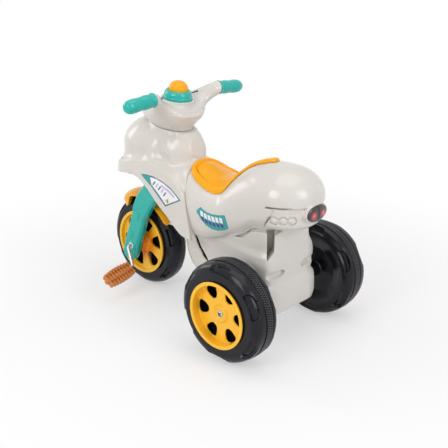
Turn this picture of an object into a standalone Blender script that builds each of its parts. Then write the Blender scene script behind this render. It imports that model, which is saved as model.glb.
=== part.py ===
"""Kids ride-on motorcycle with pedals: three black moulded wheels, pale moulded body, sprung horn button.

Metres, +Z up, front faces -Y, the rider's left is +X, the floor is z = 0 and the mid-plane is x = 0.
"""

import math

import bmesh
import bpy
from mathutils import Matrix, Vector

# Driving dimensions
FIT_GAP = 0.0003            # between pieces that touch
REAR_AXLE_Y = 0.2365        # puts the middle of the whole length on y = 0
WHEELBASE = 0.4693

REAR_WHEEL_RADIUS = 0.125
REAR_TYRE_INNER_X = 0.1416
REAR_TYRE_WIDTH = 0.0764
REAR_RIM_RADIUS = 0.0828
REAR_RIM_PROUD = 0.0067     # rim lip outside the tyre's face
REAR_HUB_INNER_X = 0.132
REAR_WEB_DEPTH = 0.0107     # tyre's web inside its outer face
REAR_HUB_HEIGHT = 0.0065    # rim's hub over the web
BUSH_FLANGE = 0.0036        # room for a bush's flange between boss and wheel
AXLE_RADIUS = 0.005

FRONT_WHEEL_RADIUS = 0.1287
FRONT_TYRE_HALF_WIDTH = 0.0302
FRONT_RIM_RADIUS = 0.0938
FRONT_RIM_PROUD = 0.006
FRONT_HUB_X = 0.044
FRONT_WEB_DEPTH = 0.0095    # tyre's web inside its face
WHEEL_STEPS = 32
RIM_WINDOWS = 6
FRONT_WINDOW_TURN = math.radians(10)
WINDOW_REACH = (0.42, 0.77)  # inner and outer ends of a window, of the rim's radius
RIM_THICKNESS = 0.003

STEER_TILT = math.radians(8.3)
STEER_AXIS_AHEAD = 0.0893   # crown point behind the front axle
CROWN_Z = 0.310
STEM_RADIUS = 0.009
STEM_BUSH_RADIUS = 0.013
STEM_STUB_RADIUS = 0.006
STEM_TUBE_RADIUS = 0.026    # fairing's tube round the lower bush

FORK_LEG_INNER_X = 0.050
FORK_LEG_OUTER_X = 0.072
FORK_LEG_HALF_DEPTH = 0.026
CROWN_BELOW = 0.025         # crown block under and over its middle point
CROWN_ABOVE = 0.0171
CROWN_HALF_DEPTH = 0.030
CRANK_BUSH_RADIUS = 0.009
FENDER_INNER_RADIUS = 0.1375
FENDER_CROWN = 0.011        # how much higher its middle is than its edges
FENDER_THICKNESS = 0.0035
FENDER_HALF_WIDTH = 0.047

CRANK_LENGTH = 0.0580
CRANK_ANGLE = math.radians(-61.0)   # left crank below the rearward direction
CRANK_ROD_RADIUS = 0.0045
CRANK_ARM_X = (0.086, 0.094)        # where the crank leaves the axle and meets the pedal's pin
PIN_SPLAY = math.radians(8.0)       # pins lean outwards from square
CRANK_BEND = 0.009
PEDAL_INNER_X = 0.102
PEDAL_WIDTH = 0.090
PEDAL_DEPTH = 0.047
PEDAL_THICKNESS = 0.017
PEDAL_PITCH = math.radians(-34.0)
PEDAL_RIBS = 9

WING_INNER_X = 0.098        # inside of the side wings over the front wheel
WING_HALF_WIDTH = 0.105     # outside of the wings
NOSE_LENGTH = 0.1055        # rounded part in front of the widest place
ARCH_AXIS_Z = 0.330         # ceiling over the front wheel, on the steering axis
ARCH_REAR = 0.1483          # neck's front wall behind the front axle
KEEL_TOP_Z = 0.236
FAIRING_TOP_Z = 0.479       # flat under the pod, on the steering axis
POD_GAP = 0.0034
SPLIT_TOP = (0.2070, 0.405)     # line between fairing and body, behind the front axle
SPLIT_FOOT = (0.2713, 0.224)

TAIL_RADIUS = 0.095
TAIL_CENTRE = 0.018         # behind the rear axle
TAIL_PANEL_DEPTH = 0.007
TAIL_PANEL_Z = (0.290, 0.364)
LAMP_Z = 0.347
LAMP_HALF = (0.037, 0.0205)
LAMP_FACE = TAIL_CENTRE + TAIL_RADIUS - 0.0005     # behind the rear axle
LAMP_THICKNESS = 0.006
LAMP_DIVIDER = 0.0016

BOSS_RADIUS = 0.020
KEEL_SLOT_FLOOR = 0.026     # distance of the slots' floors from the mid-plane
AXLE_BUSH_RADIUS = 0.009
SEAT_THICKNESS = 0.007
SEAT_LIFT = 0.0007          # seat over the body's pan

GRIP_X = (0.1155, 0.207)
GRIP_Y = 0.158              # behind the front axle
GRIP_Z = 0.5685             # at its inner end
GRIP_DROOP = math.radians(4.5)
GRIP_RADIUS = 0.0178
GRIP_BORE = 0.0113
POD_HALF = (0.080, 0.035)   # half depth and half height of the pod in the middle
HORN_SEAT = 0.2425          # above the crown point, along the steering axis
STEM_WELL_DEPTH = 0.026     # clamping ledge under the horn seat
STEM_LEDGE = 0.004          # thickness of that ledge
HORN_RADIUS = 0.038
HORN_HEIGHT = 0.026
BUTTON_RADIUS = 0.0256
HORN_FLOOR = 0.004          # thickness of the horn base's floor
SPRING_RADIUS = 0.009
SPRING_WIRE = 0.0007
SPRING_TURNS = 4

# Places worked out from them
FRONT_AXLE_Y = REAR_AXLE_Y - WHEELBASE
CROWN_POINT = Vector((0.0, FRONT_AXLE_Y + STEER_AXIS_AHEAD, CROWN_Z))
STEER_FRAME = Matrix.Translation(CROWN_POINT) @ Matrix.Rotation(-STEER_TILT, 4, "X")
FRONT_AXLE = Vector((0.0, FRONT_AXLE_Y, FRONT_WHEEL_RADIUS))
REAR_AXLE = Vector((0.0, REAR_AXLE_Y, REAR_WHEEL_RADIUS))


def aft(distance):
    """y of a place this far behind the rear axle."""
    return REAR_AXLE_Y + distance


def fore(distance):
    """y of a place this far behind the front axle."""
    return FRONT_AXLE_Y + distance


def steer_height(z):
    """Distance along the steering axis from the crown point to height z."""
    return (z - CROWN_Z) / math.cos(STEER_TILT)


def curve(points, at):
    """Value at a place on a smooth line through the points that doesn't swing past them."""
    if at <= points[0][0]:
        return points[0][1]
    if at >= points[-1][0]:
        return points[-1][1]
    i = max(k for k in range(len(points) - 1) if points[k][0] <= at)

    def slope(k):
        return (points[k + 1][1] - points[k][1]) / (points[k + 1][0] - points[k][0])

    def tangent(k):
        if k == 0 or k == len(points) - 1:
            return slope(min(k, len(points) - 2))
        a, b = slope(k - 1), slope(k)
        return 0.0 if a * b <= 0 else 2 * a * b / (a + b)

    step = points[i + 1][0] - points[i][0]
    t = (at - points[i][0]) / step
    low, high = points[i][1], points[i + 1][1]
    return (
        low * (1 + 2 * t) * (1 - t) ** 2
        + high * t * t * (3 - 2 * t)
        + step * (tangent(i) * t * (1 - t) ** 2 - tangent(i + 1) * t * t * (1 - t))
    )


# Materials


def material(name, color, roughness, metallic=0.0):
    made = bpy.data.materials.new(name)
    made.use_nodes = True
    shader = made.node_tree.nodes["Principled BSDF"]
    shader.inputs["Base Color"].default_value = (*color, 1.0)
    shader.inputs["Roughness"].default_value = roughness
    shader.inputs["Metallic"].default_value = metallic
    made.diffuse_color = (*color, 1.0)
    return made


# Mesh helpers


def made_object(name, bm, look=None, parent=None, frame=None):
    """An object from a bmesh; the mesh is given in world places, or in the given frame."""
    bmesh.ops.remove_doubles(bm, verts=bm.verts, dist=1e-6)
    if frame is not None:
        bmesh.ops.transform(bm, matrix=frame, verts=bm.verts)
    bmesh.ops.recalc_face_normals(bm, faces=bm.faces)
    mesh = bpy.data.meshes.new(name)
    bm.to_mesh(mesh)
    bm.free()
    mesh.shade_smooth()
    mesh.set_sharp_from_angle(angle=math.radians(32))
    made = bpy.data.objects.new(name, mesh)
    bpy.context.collection.objects.link(made)
    if look is not None:
        mesh.materials.append(look)
    if parent is not None:
        made.parent = parent
        made.matrix_parent_inverse = parent.matrix_world.inverted()
    return made


def skin(bm, rings, closed=False, split=False):
    """Quads between rings of points, with flat caps unless the rings close on themselves.

    Split quads become triangles whose diagonals are mirrored on the two halves of the rings.
    """
    rows = [[bm.verts.new(p) for p in ring] for ring in rings]
    pairs = list(zip(rows, rows[1:]))
    if closed:
        pairs.append((rows[-1], rows[0]))
    for a, b in pairs:
        count = len(a)
        for k in range(count):
            n = (k + 1) % count
            if not split:
                bm.faces.new((a[k], a[n], b[n], b[k]))
            elif 2 * k < count:
                bm.faces.new((a[k], a[n], b[n]))
                bm.faces.new((a[k], b[n], b[k]))
            else:
                bm.faces.new((a[k], a[n], b[k]))
                bm.faces.new((a[n], b[n], b[k]))
    if not closed:
        for row in (rows[0], rows[-1]):
            cap = bm.faces.new(row)
            bmesh.ops.triangulate(bm, faces=[cap])


def lofted(name, rings, **kind):
    bm = bmesh.new()
    skin(bm, rings, split=True)
    return made_object(name, bm, **kind)


def mirrored_ring(half):
    """Full ring of (across, up) pairs from the half on +X, whose two ends lie on the mid-plane."""
    return half + [(-a, b) for a, b in reversed(half[1:-1])]


def turned(name, profile, steps, centre=(0.0, 0.0, 0.0), axis="X", side=1, **kind):
    """Solid of revolution of a closed profile of (along, radius) pairs about X or Z.

    A flat of the many-sided wheel, not a corner, lies on the floor, at the profile's radius.
    """
    phase = math.pi / steps if steps % 4 == 0 else 0.0
    stretch = 1.0 / math.cos(math.pi / steps)
    bm = bmesh.new()
    rings = []
    for k in range(steps):
        turn = phase + 2 * math.pi * k / steps
        ring = []
        for along, radius in profile:
            a = radius * stretch * math.cos(turn)
            b = radius * stretch * math.sin(turn)
            place = (side * along, a, b) if axis == "X" else (a, b, along)
            ring.append(Vector(place) + Vector(centre))
        rings.append(ring)
    skin(bm, rings, closed=True)
    bmesh.ops.remove_doubles(bm, verts=bm.verts, dist=1e-6)
    lost = [f for f in bm.faces if f.calc_area() < 1e-12]
    bmesh.ops.delete(bm, geom=lost, context="FACES_ONLY")
    return made_object(name, bm, **kind)


def prism(name, outline, low, high, axis="X", **kind):
    """Outline of pairs pushed out along X, as (y, z), or along Z, as (x, y)."""
    bm = bmesh.new()

    def place(pair, at):
        return (at, pair[0], pair[1]) if axis == "X" else (pair[0], pair[1], at)

    skin(bm, [[place(pair, at) for pair in outline] for at in (low, high)])
    return made_object(name, bm, **kind)


def block(name, low, high, **kind):
    outline = [(low[1], low[2]), (high[1], low[2]), (high[1], high[2]), (low[1], high[2])]
    return prism(name, outline, low[0], high[0], **kind)


def hidden(tool):
    tool.hide_render = True
    tool.display_type = "WIRE"
    return tool


def combine(target, tool, operation):
    step = target.modifiers.new(f"{operation.lower()}_{tool.name}", "BOOLEAN")
    step.operation = operation
    step.solver = "EXACT"
    step.object = hidden(tool)


def cut(target, tool):
    combine(target, tool, "DIFFERENCE")


def join(target, tool):
    combine(target, tool, "UNION")


def rounded(target, width, segments=1, angle=30):
    step = target.modifiers.new("rounded", "BEVEL")
    step.width = width
    step.segments = segments
    step.limit_method = "ANGLE"
    step.angle_limit = math.radians(angle)


def empty(name, place, parent=None, turn=(0.0, 0.0, 0.0)):
    made = bpy.data.objects.new(name, None)
    bpy.context.collection.objects.link(made)
    made.location = place
    made.rotation_euler = turn
    made.empty_display_size = 0.03
    bpy.context.view_layer.update()
    if parent is not None:
        made.parent = parent
        made.matrix_parent_inverse = parent.matrix_world.inverted()
        bpy.context.view_layer.update()
    return made


def oval(half_width, half_height, steps, centre=(0.0, 0.0)):
    turns = [2 * math.pi * k / steps for k in range(steps)]
    return [
        (centre[0] + half_width * math.cos(t), centre[1] + half_height * math.sin(t))
        for t in turns
    ]


# Split between fairing and body


def split_y(z, behind=0.0):
    """y of the split plane at height z, moved back by a distance."""
    top, foot = SPLIT_TOP, SPLIT_FOOT
    share = (z - foot[1]) / (top[1] - foot[1])
    return fore(foot[0] + share * (top[0] - foot[0])) + behind


# Upper body: seat pan, flanks and tail cowl, as rings along its length

PAN_Z = [(-0.300, 0.402), (-0.245, 0.399), (-0.205, 0.387), (-0.165, 0.379), (-0.130, 0.381),
         (-0.100, 0.406), (-0.070, 0.428), (-0.036, 0.441), (-0.009, 0.446), (0.018, 0.445),
         (0.050, 0.438), (0.075, 0.429), (0.094, 0.415), (0.106, 0.398), (0.112, 0.386)]
FLANK_HALF_WIDTH = [(-0.300, 0.084), (-0.240, 0.088), (-0.200, 0.094), (-0.150, 0.098),
                    (-0.060, 0.097), (TAIL_CENTRE, TAIL_RADIUS)]
SHOULDER_Z = [(-0.300, 0.300), (-0.130, 0.302), (-0.080, 0.325), (-0.030, 0.352),
              (0.010, 0.366), (0.040, 0.374)]
LOWER_Z = [(-0.300, 0.226), (-0.200, 0.226), (-0.120, 0.245), (-0.086, 0.262), (-0.040, 0.279),
           (-0.015, 0.298), (0.007, 0.304), (0.112, 0.306)]
UPPER_STATIONS = [-0.300, -0.262, -0.235, -0.205, -0.175, -0.150, -0.127, -0.108, -0.086,
                  -0.062, -0.036, -0.009, 0.018]
DOME_TURNS = [math.radians(a) for a in (18, 36, 53, 68, 80)]


def upper_half_width(distance):
    if distance <= TAIL_CENTRE:
        return curve(FLANK_HALF_WIDTH, distance)
    return math.sqrt(max(TAIL_RADIUS**2 - (distance - TAIL_CENTRE) ** 2, 0.0))


def upper_half_section(distance):
    """Half of the ring at a distance behind the rear axle, from underneath to the top."""
    width = upper_half_width(distance)
    top = curve(PAN_Z, distance)
    shoulder = curve(SHOULDER_Z, distance)
    low = curve(LOWER_Z, distance)
    rise = shoulder - low
    half = [(0.0, low), (0.80 * width, low), (0.955 * width, low + 0.28 * rise), (width, shoulder)]
    for turn in DOME_TURNS:
        half.append((width * math.cos(turn), shoulder + (top - shoulder) * math.sin(turn)))
    return half + [(0.0, top)]


def upper_stations():
    tail = [TAIL_CENTRE + TAIL_RADIUS * math.sin(math.radians(a)) for a in (20, 38, 53, 65, 74, 80)]
    return UPPER_STATIONS + tail


def make_upper_body():
    rings = []
    for distance in upper_stations():
        ring = mirrored_ring(upper_half_section(distance))
        rings.append([(x, aft(distance), z) for x, z in ring])
    return lofted("upper_body", rings)


# Lower body: keel rail in front, axle box behind, as rings up its height

KEEL_FRONT = [(0.062, -0.190), (0.080, -0.235), (0.100, -0.262), (0.121, -0.282),
              (0.147, -0.295), (0.174, -0.302), (0.236, -0.305)]
BOX_REAR = [(0.062, 0.030), (0.076, 0.050), (0.110, 0.060), (0.136, 0.060), (0.156, 0.054),
            (0.168, 0.0455), (0.182, 0.049), (0.212, 0.050), (0.273, 0.047), (0.315, 0.047)]
BOX_HALF_WIDTH = [(0.062, 0.080), (0.076, 0.094), (0.110, 0.100), (0.136, 0.100), (0.156, 0.098),
                  (0.168, 0.092), (0.182, 0.095), (0.212, 0.097), (0.273, 0.092), (0.315, 0.088)]
KEEL_HALF_WIDTH = [(0.062, 0.026), (0.120, 0.030), (0.200, 0.034), (0.315, 0.040)]
CREASE = [(0.062, 0.000), (0.200, -0.020), (0.221, -0.049), (0.249, -0.086), (0.315, -0.130)]
LOWER_LEVELS = [0.062, 0.068, 0.080, 0.100, 0.121, 0.140, 0.156, 0.168, 0.182, 0.210, 0.236, 0.262,
                0.290, 0.315]
BOX_CORNER = 0.026


def make_lower_body():
    rings = []
    for z in LOWER_LEVELS:
        front, rear = curve(KEEL_FRONT, z), curve(BOX_REAR, z)
        keel, box = curve(KEEL_HALF_WIDTH, z), curve(BOX_HALF_WIDTH, z)
        crease = curve(CREASE, z)
        half = [(0.0, front), (0.72 * keel, front + 0.003), (keel, front + 0.016),
                (0.93 * box, crease), (box, crease + 0.030 * (1 if crease < 0 else 0.4)),
                (box, rear - BOX_CORNER), (box - 0.3 * BOX_CORNER, rear - 0.3 * BOX_CORNER),
                (box - BOX_CORNER, rear), (0.0, rear)]
        rings.append([(x, aft(d), z) for x, d in mirrored_ring(half)])
    return lofted("lower_body", rings)


def make_front_region():
    """Space in front of the split plane and above the keel, which the fairing fills."""
    back = FIT_GAP / 2
    top, far = 0.60, fore(-0.30)
    foot = KEEL_TOP_Z - back
    outline = [(far, foot), (split_y(foot, back), foot), (split_y(top, back), top), (far, top)]
    return prism("front_region", outline, -0.2, 0.2)


def make_panel_recess():
    """Stepped-in band with its bumps round the tail, under the cowl, slanted at its front end."""
    low, high = TAIL_PANEL_Z
    inner, outer = TAIL_RADIUS - TAIL_PANEL_DEPTH, TAIL_RADIUS + 0.03
    start, end, count = math.radians(8), math.radians(172), 20
    slant = math.radians(9)
    rings = []
    for k in range(count + 1):
        turn = start + (end - start) * k / count
        lean = slant * (1 - 2 * k / count)
        ring = []
        for radius, z, shift in ((inner, low, -1), (outer, low, -1), (outer, high, 1), (inner, high, 1)):
            angle = turn + 0.5 * shift * lean
            ring.append((radius * math.cos(angle), aft(TAIL_CENTRE) + radius * math.sin(angle), z))
        rings.append(ring)
    return lofted("panel_recess", rings)


def make_keel_slot(side):
    """Crescent slot between the keel and the box on one side, which doesn't reach the other."""
    line = [(-0.250, 0.222), (-0.244, 0.207), (-0.230, 0.181), (-0.212, 0.163), (-0.190, 0.152)]
    widths = (0.002, 0.005, 0.0055, 0.005, 0.002)
    ahead, behind = [], []
    for k, (d, z) in enumerate(line):
        before, after = line[max(k - 1, 0)], line[min(k + 1, len(line) - 1)]
        along = Vector((after[0] - before[0], after[1] - before[1])).normalized()
        across = Vector((along.y, -along.x)) * widths[k]
        ahead.append((aft(d) + across.x, z + across.y))
        behind.append((aft(d) - across.x, z - across.y))
    ends = sorted((side * KEEL_SLOT_FLOOR, side * 0.15))
    return prism("keel_slot_left" if side > 0 else "keel_slot_right", ahead + behind[::-1], *ends)


def make_main_body(look):
    body = make_upper_body()
    body.name = body.data.name = "main_body"
    body.data.materials.append(look)
    join(body, make_lower_body())
    boss_end = REAR_HUB_INNER_X - BUSH_FLANGE
    boss = turned("axle_boss", [(-boss_end, 0.0), (-boss_end, BOSS_RADIUS), (boss_end, BOSS_RADIUS),
                                (boss_end, 0.0)], 20, centre=REAR_AXLE)
    join(body, boss)
    lamp_boss = turned_oval("lamp_boss", aft(0.060), aft(LAMP_FACE), 0.0025)
    cut(body, make_panel_recess())
    join(body, lamp_boss)
    for side in (1, -1):
        cut(body, make_keel_slot(side))
    cut(body, make_front_region())
    radius = AXLE_BUSH_RADIUS + FIT_GAP
    bore = turned("axle_bore", [(-0.16, 0.0), (-0.16, radius), (0.16, radius), (0.16, 0.0)], 16,
                  centre=REAR_AXLE)
    cut(body, bore)
    return body


def turned_oval(name, front, back, grow):
    """Oval block behind the tail lamp, grown all round by a margin."""
    outline = oval(LAMP_HALF[0] + grow, LAMP_HALF[1] + grow, 20, (0.0, LAMP_Z))
    bm = bmesh.new()
    skin(bm, [[(x, y, z) for x, z in outline] for y in (front, back)])
    return made_object(name, bm)


# Front fairing: nose, tank and wings, as rings along its length, behind the front axle

WING_FOOT_Z = [(-0.0660, 0.338), (-0.0300, 0.346), (0.0100, 0.356), (0.0480, 0.361),
               (0.0700, 0.354), (0.0860, 0.346), (0.1010, 0.336), (0.1160, 0.323),
               (0.1290, 0.310), (0.1540, 0.288), (0.1850, 0.266), (0.2120, 0.243),
               (0.2390, 0.227), (0.2630, 0.223), (0.2893, 0.226)]
RIDGE_Z = [(-0.0660, 0.352), (-0.0560, 0.362), (-0.0300, 0.370), (0.0200, 0.382), (0.0700, 0.390),
           (0.1163, 0.392), (0.1433, 0.386), (0.1613, 0.379), (0.1833, 0.371), (0.2043, 0.360),
           (0.2243, 0.349), (0.2393, 0.337), (0.2633, 0.320), (0.2893, 0.305)]
RIDGE_SHARE = [(-0.0300, 0.975), (0.0400, 0.930), (0.1000, 0.840), (0.2000, 0.840), (0.2893, 0.890)]
COWL_TOP_Z = [(-0.0660, 0.354), (-0.0560, 0.366), (-0.0505, 0.376), (-0.0485, 0.405),
              (-0.0450, 0.440), (-0.0380, 0.458), (-0.0220, 0.476), (0.0050, 0.490),
              (0.0350, 0.496), (0.1000, 0.494), (0.1400, 0.488), (0.1650, 0.480), (0.1840, 0.464),
              (0.1950, 0.448), (0.2020, 0.428), (0.2050, 0.404), (0.2400, 0.400), (0.2893, 0.396)]
NOSE_HALF_WIDTH = 0.088
NOSE_HALF_LENGTH = 0.0885
NOSE_BASE_Z = 0.374
NOSE_SHOULDER_Z = [(0.0500, 0.437), (0.1400, 0.425)]
TANK_CORNER = 0.055         # rounding of the tank's rear corners in plan
TANK_CORNER_AT = 0.150
TANK_HALF_WIDTH = [(0.0393, 0.086), (0.0800, 0.076), (0.1200, 0.063), (TANK_CORNER_AT, 0.0585)]
SADDLE_HALF_WIDTH = 0.052
SADDLE_SHOULDER_Z = 0.377
FLANK_WAIST = 0.076
FAIRING_STATIONS = [-0.0660, -0.0630, -0.0560, -0.0505, -0.0485, -0.0450, -0.0380, -0.022, -0.004,
                    0.016, 0.040, 0.070, 0.100, 0.125, 0.148, 0.167, 0.184, 0.195, 0.202, 0.2047,
                    0.212, 0.228, 0.244, 0.260, 0.275, 0.289]
WIDEST_AT = 0.0393          # widest place of the nose and the wings


def quarter(distance, half_length, half_width):
    """Half-width of an oval plan in front of the widest place."""
    share = min(max(WIDEST_AT - distance, 0.0) / half_length, 0.9995)
    return half_width * math.sqrt(1 - share**2)


def wing_half_width(distance):
    return quarter(distance, NOSE_LENGTH, WING_HALF_WIDTH)


def tank_half_width(distance):
    if distance <= WIDEST_AT:
        return quarter(distance, NOSE_HALF_LENGTH, NOSE_HALF_WIDTH)
    if distance <= TANK_CORNER_AT:
        return curve(TANK_HALF_WIDTH, distance)
    reach = min((distance - TANK_CORNER_AT) / TANK_CORNER, 0.9999)
    return TANK_HALF_WIDTH[-1][1] - TANK_CORNER * (1 - math.sqrt(1 - reach**2))


def fairing_half_section(distance):
    """Half of the fairing's ring: foot and ridge of the wing, waist, tank or saddle, and top."""
    wing = wing_half_width(distance)
    foot, top = curve(WING_FOOT_Z, distance), curve(COWL_TOP_Z, distance)
    ridge = min(curve(RIDGE_Z, distance), top - 0.0015)
    behind = distance > TANK_CORNER_AT + TANK_CORNER - 0.0005
    tank = SADDLE_HALF_WIDTH if behind else tank_half_width(distance)
    waist = FLANK_WAIST if behind else max(tank_half_width(min(distance, TANK_CORNER_AT)), 0.5 * tank)
    shoulder = SADDLE_SHOULDER_Z if behind else curve(NOSE_SHOULDER_Z, distance)
    shoulder = min(shoulder, top - 0.25 * (top - ridge))
    low = min(max(NOSE_BASE_Z, ridge + 0.004), 0.5 * (ridge + shoulder)) if distance < WIDEST_AT else (
        ridge + 0.35 * (shoulder - ridge))
    edge = curve(RIDGE_SHARE, distance) * wing
    waist, tank = min(waist, 0.96 * edge), min(tank, 0.96 * edge)
    half = [(0.0, foot), (0.93 * wing, foot), (wing, foot + 0.005), (edge, ridge),
            (waist, low), (tank, shoulder)]
    for turn in (math.radians(25), math.radians(48), math.radians(66), math.radians(80)):
        half.append((tank * math.cos(turn), shoulder + (top - shoulder) * math.sin(turn)))
    return half + [(0.0, top)]


def make_fairing_blank():
    rings = []
    for distance in FAIRING_STATIONS:
        ring = mirrored_ring(fairing_half_section(distance))
        rings.append([(x, fore(distance), z) for x, z in ring])
    return lofted("front_fairing", rings)


def make_arch_space():
    """Room for the front wheel and fork between the wings, with a ceiling square to the stem."""
    stations = [-0.0560, -0.0520, -0.0440, -0.030, -0.008, 0.020, ARCH_REAR]
    wall = WING_HALF_WIDTH - WING_INNER_X
    rings = []
    for distance in stations:
        half = wing_half_width(distance) - wall
        ceiling = ARCH_AXIS_Z - math.tan(STEER_TILT) * (distance - arch_axis_distance())
        rings.append([(-half, fore(distance), 0.1), (half, fore(distance), 0.1),
                      (half, fore(distance), ceiling), (-half, fore(distance), ceiling)])
    return lofted("arch_space", rings)


def arch_axis_distance():
    """Where the steering axis meets the arch ceiling, behind the front axle."""
    return STEER_AXIS_AHEAD + (ARCH_AXIS_Z - CROWN_Z) * math.tan(STEER_TILT)


def make_front_fairing(look):
    fairing = make_fairing_blank()
    fairing.data.materials.append(look)
    cut(fairing, make_arch_space())
    tube = [(steer_height(ARCH_AXIS_Z), 0.0), (steer_height(ARCH_AXIS_Z), STEM_TUBE_RADIUS),
            (steer_height(ARCH_AXIS_Z + 0.06), STEM_TUBE_RADIUS), (steer_height(ARCH_AXIS_Z + 0.06), 0.0)]
    join(fairing, turned("stem_tube", tube, 20, axis="Z", frame=STEER_FRAME))
    back = -FIT_GAP / 2
    keel_room = block("keel_room", (-WING_INNER_X, fore(ARCH_REAR) - 0.01, 0.1),
                      (WING_INNER_X, fore(0.36), KEEL_TOP_Z - back))
    cut(fairing, keel_room)
    behind = [(split_y(z, back), z) for z in (0.15, 0.55)]
    rear_cut = prism("rear_cut", [(behind[0][0], 0.15), (fore(0.40), 0.15), (fore(0.40), 0.55),
                                  (behind[1][0], 0.55)], -0.2, 0.2)
    cut(fairing, rear_cut)
    top = steer_height(FAIRING_TOP_Z)
    flat = turned("pod_room", [(top, 0.0), (top, 0.12), (top + 0.08, 0.12), (top + 0.08, 0.0)], 24,
                  axis="Z", frame=STEER_FRAME)
    cut(fairing, flat)
    radius = STEM_BUSH_RADIUS + FIT_GAP
    bore = turned("stem_bore", [(-0.02, 0.0), (-0.02, radius), (top + 0.02, radius),
                                (top + 0.02, 0.0)], 16, axis="Z", frame=STEER_FRAME)
    cut(fairing, bore)
    return fairing


# Seat: a pad that lies on the pan and runs up the tail as a strip

SEAT_HALF_WIDTH = [(-0.259, 0.030), (-0.254, 0.044), (-0.238, 0.056), (-0.215, 0.064),
                   (-0.180, 0.071), (-0.145, 0.075), (-0.120, 0.070), (-0.102, 0.048),
                   (-0.088, 0.024), (-0.060, 0.020), (-0.030, 0.016), (-0.009, 0.010)]
SEAT_STATIONS = [-0.259, -0.254, -0.246, -0.234, -0.215, -0.195, -0.170, -0.150, -0.134, -0.122,
                 -0.112, -0.104, -0.097, -0.090, -0.075, -0.060, -0.040, -0.020, -0.009]


def lifted_body(name, lift):
    """The upper body's shape with its top raised all over."""
    rings = []
    for distance in [d for d in upper_stations() if d < 0.03]:
        half = upper_half_section(distance)
        half = half[:3] + [(x, z + lift) for x, z in half[3:]]
        rings.append([(x, aft(distance), z) for x, z in mirrored_ring(half)])
    return lofted(name, rings)


def make_seat(look):
    near = [(curve(SEAT_HALF_WIDTH, d), aft(d)) for d in SEAT_STATIONS]
    far = [(-x, y) for x, y in reversed(near)]
    seat = prism("seat", near + far, 0.30, 0.50, axis="Z", look=look)
    combine(seat, lifted_body("seat_top", SEAT_LIFT + SEAT_THICKNESS), "INTERSECT")
    cut(seat, lifted_body("seat_room", SEAT_LIFT))
    gap = FIT_GAP / 2 + 0.0006
    front = [(fore(0.0), 0.1), (split_y(0.1, gap), 0.1), (split_y(0.6, gap), 0.6), (fore(0.0), 0.6)]
    cut(seat, prism("seat_front_room", front, -0.2, 0.2))
    return seat


# Tail lamp


def make_tail_light(side, look):
    """Half of the oval lamp, domed towards the rear, with a narrow gap at the mid-plane."""
    count = 10
    name = "tail_light_left" if side > 0 else "tail_light_right"
    gap = LAMP_DIVIDER / 2
    rings = []
    for share, rise in ((1.0, 0.0), (0.97, 0.6), (0.75, 0.92), (0.35, 1.0)):
        ring = []
        for k in range(count + 1):
            turn = -math.pi / 2 + math.pi * k / count
            x = gap + (LAMP_HALF[0] - gap) * share * math.cos(turn)
            z = LAMP_Z + LAMP_HALF[1] * share * math.sin(turn)
            ring.append((side * x, aft(LAMP_FACE) + FIT_GAP + LAMP_THICKNESS * rise, z))
        rings.append(ring)
    return lofted(name, rings, look=look)


# Wheels


def rear_tyre_profile():
    """Closed (x, radius) profile of the black moulding, from its hub's inner face."""
    inner, outer = REAR_TYRE_INNER_X, REAR_TYRE_INNER_X + REAR_TYRE_WIDTH
    tread, rim, bore = REAR_WHEEL_RADIUS, REAR_RIM_RADIUS + FIT_GAP, AXLE_RADIUS + FIT_GAP
    web = outer - REAR_WEB_DEPTH
    return [(REAR_HUB_INNER_X, bore), (REAR_HUB_INNER_X, 0.017), (inner + 0.017, 0.022),
            (inner + 0.017, tread - 0.062), (inner + 0.006, tread - 0.042), (inner, tread - 0.017),
            (inner, tread - 0.011), (inner + 0.010, tread - 0.0015), (inner + 0.023, tread),
            (outer - 0.034, tread), (outer - 0.031, tread - 0.0022), (outer - 0.014, tread - 0.0025),
            (outer - 0.0045, tread - 0.007), (outer, tread - 0.014), (outer, rim), (web, rim),
            (web, bore)]


def rim_profile(face, proud, radius, hub, bore, web):
    """Closed (x, radius) profile of a rim disc: lip, dish and hub, on the tyre's web."""
    lip = face + proud
    dish = web + RIM_THICKNESS
    return [(web, bore), (web, radius), (lip - 0.0018, radius), (lip, radius - 0.003),
            (lip, radius - 0.0055), (dish + 0.0035, radius - 0.0125), (dish, radius - 0.0165),
            (dish + 0.001, 0.031), (hub, 0.026), (hub, bore)]


def window_cutter(name, centre, radius, side, span, first):
    """Windows through a rim disc, wider towards the lip, the first at an angle from straight back."""
    bm = bmesh.new()
    inner, outer = (share * radius for share in WINDOW_REACH)
    for k in range(RIM_WINDOWS):
        middle = first + 2 * math.pi * k / RIM_WINDOWS
        corners = [(inner, -0.10), (inner, 0.10), (0.5 * (inner + outer), 0.25), (outer - 0.003, 0.30),
                   (outer, 0.24), (outer, -0.24), (outer - 0.003, -0.30), (0.5 * (inner + outer), -0.25)]
        rings = []
        for x in span:
            ring = []
            for reach, swing in corners:
                turn = middle + swing
                ring.append((side * x, centre.y + reach * math.cos(turn),
                             centre.z + reach * math.sin(turn)))
            rings.append(ring)
        skin(bm, rings)
    return made_object(name, bm)


def make_rim(name, profile, centre, radius, side, span, first, look, parent):
    rim = turned(name, profile, WHEEL_STEPS, centre=centre, side=side, look=look, parent=parent)
    cut(rim, window_cutter(name + "_windows", centre, radius, side, span, first))
    return rim


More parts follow.
